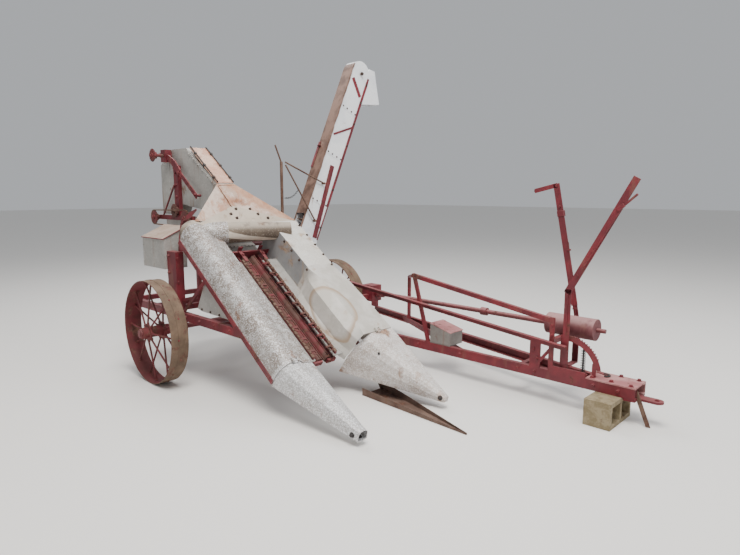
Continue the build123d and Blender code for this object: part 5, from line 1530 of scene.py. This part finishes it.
@dataclass
class TongueTrim:
    """The corner angle, the hook and the bolts of the tongue and the nose."""

    shop: Workshop
    plate_z: float = 0.284
    rail_z: float = 0.234
    plate_bolts: tuple[tuple[float, float], ...] = (
        (3.080, 2.015), (3.220, 2.020), (3.362, 2.012), (3.360, 2.185), (3.230, 2.190))
    rail_bolts: tuple[float, ...] = (0.30, 0.95, 1.42, 1.90, 2.47, 2.62, 3.10, 3.28)
    stand_bolts: tuple[tuple[float, float], ...] = (
        (2.610, 0.420), (2.640, 0.350), (2.755, 0.640), (2.755, 0.560))

    def build(self) -> None:
        """Builds the tongue's fittings."""
        at, right = self.shop.layout.at, Axis.RIGHT.value
        corner, bolts, hook = bmesh.new(), bmesh.new(), bmesh.new()
        add_block(corner, at(3.052, 2.186, 0.2865), at(3.150, 2.150, 0.2865), 0.040, 0.006, (0.2, 1.0, 0.0),
                  0.001)
        add_ring(hook, at(3.140, 2.120, 0.292), Axis.UP.value, right, 0.030, 0.007, math.pi * 1.25, 14)
        for x, y in self.plate_bolts:
            add_bolt(bolts, at(x, y, self.plate_z), Axis.UP.value, 0.026, x)
        for x in self.rail_bolts:
            add_bolt(bolts, at(x, NEAR_RAIL_Y, self.rail_z), right, 0.022, x)
        for x, z in self.stand_bolts:
            add_bolt(bolts, at(x, NEAR_RAIL_Y, z), right, 0.020, z)
        add_bolt(bolts, at(1.438, NEAR_RAIL_Y, 0.600), right, 0.018)
        self.shop.finish(corner, "nose_corner_angle", Tone.CRIMSON, "chassis")
        self.shop.finish(hook, "nose_hook", Tone.BLACK, "chassis")
        self.shop.finish(bolts, "tongue_bolts", Tone.CRIMSON, "chassis")


@dataclass
class SnoutTrim:
    """The bolts of the two snouts and the band at the outer divider's mouth."""

    shop: Workshop
    band_along: float = 1.632
    band_y: float = 0.425
    band_rise: float = 0.100
    band_radius: float = 0.1215
    band_steps: int = 9
    band_turn: float = 16.0
    foot_y: float = 0.3035

    def build(self) -> None:
        """Builds the snouts' fittings."""
        at, head = self.shop.layout.at, self.shop.layout.on_head
        inner, outer, bands = bmesh.new(), bmesh.new(), bmesh.new()
        add_bolt(inner, at(2.2053, 1.2950, 0.0907), (0.374, -0.907, 0.195), 0.026)
        add_bolt(inner, at(1.700, 1.1440, 0.3760), (0.456, -0.810, 0.369), 0.018)
        add_bolt(outer, at(2.1704, 0.3795, 0.0761), (0.085, -0.996, -0.026), 0.026)
        add_bolt(outer, at(2.1843, 0.4400, 0.0470), (0.257, -0.136, 0.957), 0.018)
        corners = []
        for index in range(self.band_steps + 1):
            angle = math.radians(180 - self.band_turn * index)
            corners.append(head(self.band_along, self.band_y + self.band_radius * math.cos(angle),
                                self.band_rise + self.band_radius * math.sin(angle)))
        for start, end in zip(corners, corners[1:]):
            add_block(bands, start, end, 0.026, 0.004, self.shop.layout.down_head)
        add_block(bands, head(self.band_along, self.foot_y, 0.010),
                  head(self.band_along, self.foot_y, self.band_rise), 0.004, 0.026)
        self.shop.finish(inner, "inner_snout_bolts", Tone.BLACK, "inner_snout")
        self.shop.finish(outer, "outer_snout_bolts", Tone.BLACK, "outer_snout")
        self.shop.finish(bands, "outer_divider_band", Tone.SNOUT_ZINC, "chassis")


@dataclass
class StayTrim:
    """The chain that hangs from the stay post to the lower stay."""

    shop: Workshop
    links: int = 15
    sag: float = 0.035
    start: Place = (-0.466, 1.884, 1.604)
    end: Place = (-0.466, 2.089, 1.700)
    flat_link: Place = (0.0, -0.42, 0.91)

    def build(self) -> None:
        """Builds the hanging chain."""
        start, end = self.shop.layout.at(*self.start), self.shop.layout.at(*self.end)
        mesh, places = bmesh.new(), []
        for index in range(self.links):
            share = index / (self.links - 1)
            place = start.lerp(end, share)
            place.z -= self.sag * math.sin(math.pi * share)
            places.append(place)
        for index, (low, high) in enumerate(zip(places, places[1:])):
            axis = Vector(ALONG_X if index % 2 else self.flat_link)
            add_ring(mesh, (low + high) / 2, axis, (high - low).cross(axis), 0.009, 0.0025, steps=10)
        self.shop.finish(mesh, "stay_chain", Tone.BLACK, "wagon_elevator")


@dataclass
class BoxTrim:
    """The fittings and the rolled edges of the toolbox and the grey box."""

    shop: Workshop
    toolbox_edges: tuple[tuple[Place, Place], ...] = (
        ((1.560, 1.9935, 0.285), (1.780, 1.9935, 0.285)), ((1.7815, 1.996, 0.285), (1.7815, 2.192, 0.285)),
        ((1.7815, 1.998, 0.285), (1.7815, 1.998, 0.392)))
    lid_edges: tuple[tuple[Place, Place], ...] = (
        ((-0.566, 0.251, 1.2475), (-0.125, 0.251, 1.2475)), ((-0.123, 0.254, 1.251), (-0.123, 0.484, 1.356)))

    def build(self) -> None:
        """Builds both boxes' fittings."""
        at = self.shop.layout.at
        rims, lid, edges, seam = bmesh.new(), bmesh.new(), bmesh.new(), bmesh.new()
        for start, end in self.toolbox_edges:
            add_cylinder(rims, at(*start), at(*end), 0.003, 8)
        add_block(lid, at(1.770, 2.094, 0.4075), at(1.791, 2.094, 0.4020), 0.028, 0.004, bevel=0.001)
        for y in (2.010, 2.180):
            add_bolt(lid, at(1.590, y, 0.452), (0.245, 0.0, 0.969), 0.012)
        for start, end in self.lid_edges:
            add_cylinder(edges, at(*start), at(*end), 0.0045, 8)
        add_block(seam, at(-0.345, 0.2585, 0.985), at(-0.345, 0.2585, 1.236), 0.003, 0.020)
        for z in (1.02, 1.10, 1.18):
            add_bolt(seam, at(-0.540, 0.260, z), Axis.RIGHT.value, 0.012)
        self.shop.finish(rims, "toolbox_rims", Tone.TOOLBOX, "chassis")
        self.shop.finish(lid, "toolbox_lid_fittings", Tone.BOX_LID, "toolbox_lid")
        self.shop.finish(edges, "shield_box_lid_rim", Tone.CRIMSON, "shield_box_lid")
        self.shop.finish(seam, "shield_box_seam", Tone.GREY, "chassis")


@dataclass(frozen=True)
class Lamp:
    """A soft square lamp that faces the machine's middle."""

    name: str
    place: Place
    size: float
    power: float
    tint: Colour
    aim: Place = (0.0, 0.0, 0.8)

    def build(self) -> None:
        """Builds the lamp."""
        data = bpy.data.lights.new(self.name, "AREA")
        data.energy, data.size, data.color = self.power, self.size, self.tint
        light = bpy.data.objects.new(self.name, data)
        light.location = self.place
        way = Vector(self.aim) - Vector(self.place)
        light.rotation_euler = way.to_track_quat("-Z", "Y").to_euler()
        bpy.context.scene.collection.objects.link(light)


@dataclass
class Studio:
    """The floor, the light and the camera."""

    layout: Layout
    floor_size: float = 60.0
    floor_drop: float = 0.001
    sky_tint: tuple[float, float, float, float] = (0.93, 0.96, 1.0, 1.0)
    sky_strength: float = 0.50
    lamps: tuple[Lamp, ...] = (Lamp("key", (2.5, -2.5, 8.0), 4.0, 900.0, (1.0, 0.97, 0.93)),
                               Lamp("fill", (6.5, 3.0, 6.0), 5.0, 240.0, (0.94, 0.97, 1.0)),
                               Lamp("back", (-5.0, 1.0, 7.0), 4.0, 260.0, (1.0, 1.0, 1.0)))

    def build(self) -> None:
        """Builds the stage."""
        self.floor()
        self.lights()
        self.camera()

    def floor(self) -> None:
        """A wide pale plain floor."""
        mesh = bmesh.new()
        bmesh.ops.create_grid(mesh, x_segments=1, y_segments=1, size=self.floor_size)
        data = bpy.data.meshes.new("studio_floor")
        mesh.to_mesh(data)
        mesh.free()
        floor = bpy.data.objects.new("studio_floor", data)
        floor.location.z = -self.floor_drop
        bpy.context.scene.collection.objects.link(floor)
        material = bpy.data.materials.new("studio_floor")
        material.use_nodes = True
        body = material.node_tree.nodes["Principled BSDF"]
        body.inputs["Base Color"].default_value = FLOOR_COLOUR
        body.inputs["Roughness"].default_value = 0.95
        data.materials.append(material)

    def lights(self) -> None:
        """A large soft key, a fill, a back lamp and a pale sky."""
        world = bpy.data.worlds.new("studio_sky")
        world.use_nodes = True
        world.node_tree.nodes["Background"].inputs["Color"].default_value = self.sky_tint
        world.node_tree.nodes["Background"].inputs["Strength"].default_value = self.sky_strength
        bpy.context.scene.world = world
        for lamp in self.lamps:
            lamp.build()

    def camera(self) -> None:
        """The camera at the photograph's viewing angle."""
        data = bpy.data.cameras.new("camera")
        data.sensor_width, data.lens = SENSOR_WIDTH, CAMERA_LENS
        data.clip_end = 200.0
        camera = bpy.data.objects.new("camera", data)
        camera.location = self.layout.at(*CAMERA_PLACE)
        azimuth, down = math.radians(CAMERA_AZIMUTH), math.radians(CAMERA_DOWN)
        look = Vector((-math.sin(azimuth) * math.cos(down), math.cos(azimuth) * math.cos(down),
                       -math.sin(down)))
        camera.rotation_euler = look.to_track_quat("-Z", "Y").to_euler()
        bpy.context.scene.collection.objects.link(camera)
        bpy.context.scene.camera = camera


def main() -> None:
    """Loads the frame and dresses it."""
    logging.basicConfig(level=logging.INFO, format="%(name)s: %(message)s")
    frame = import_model()
    layout = Layout()
    shop = Workshop(frame, layout)
    shop.paint_nodes()
    Studio(layout).build()
    Fastenings(shop).build()
    WheelTrim(shop, "wheel_right", 0.0).build()
    WheelTrim(shop, "wheel_left", 2.110).build()
    for trim in (DriveTrim, GatheringTrim, ThroatTrim, HoodTrim, ElevatorTrim, WagonTrim, LeverTrim,
                 TongueTrim, SnoutTrim, StayTrim, BoxTrim):
        trim(shop).build()


if __name__ == "__main__":
    main()
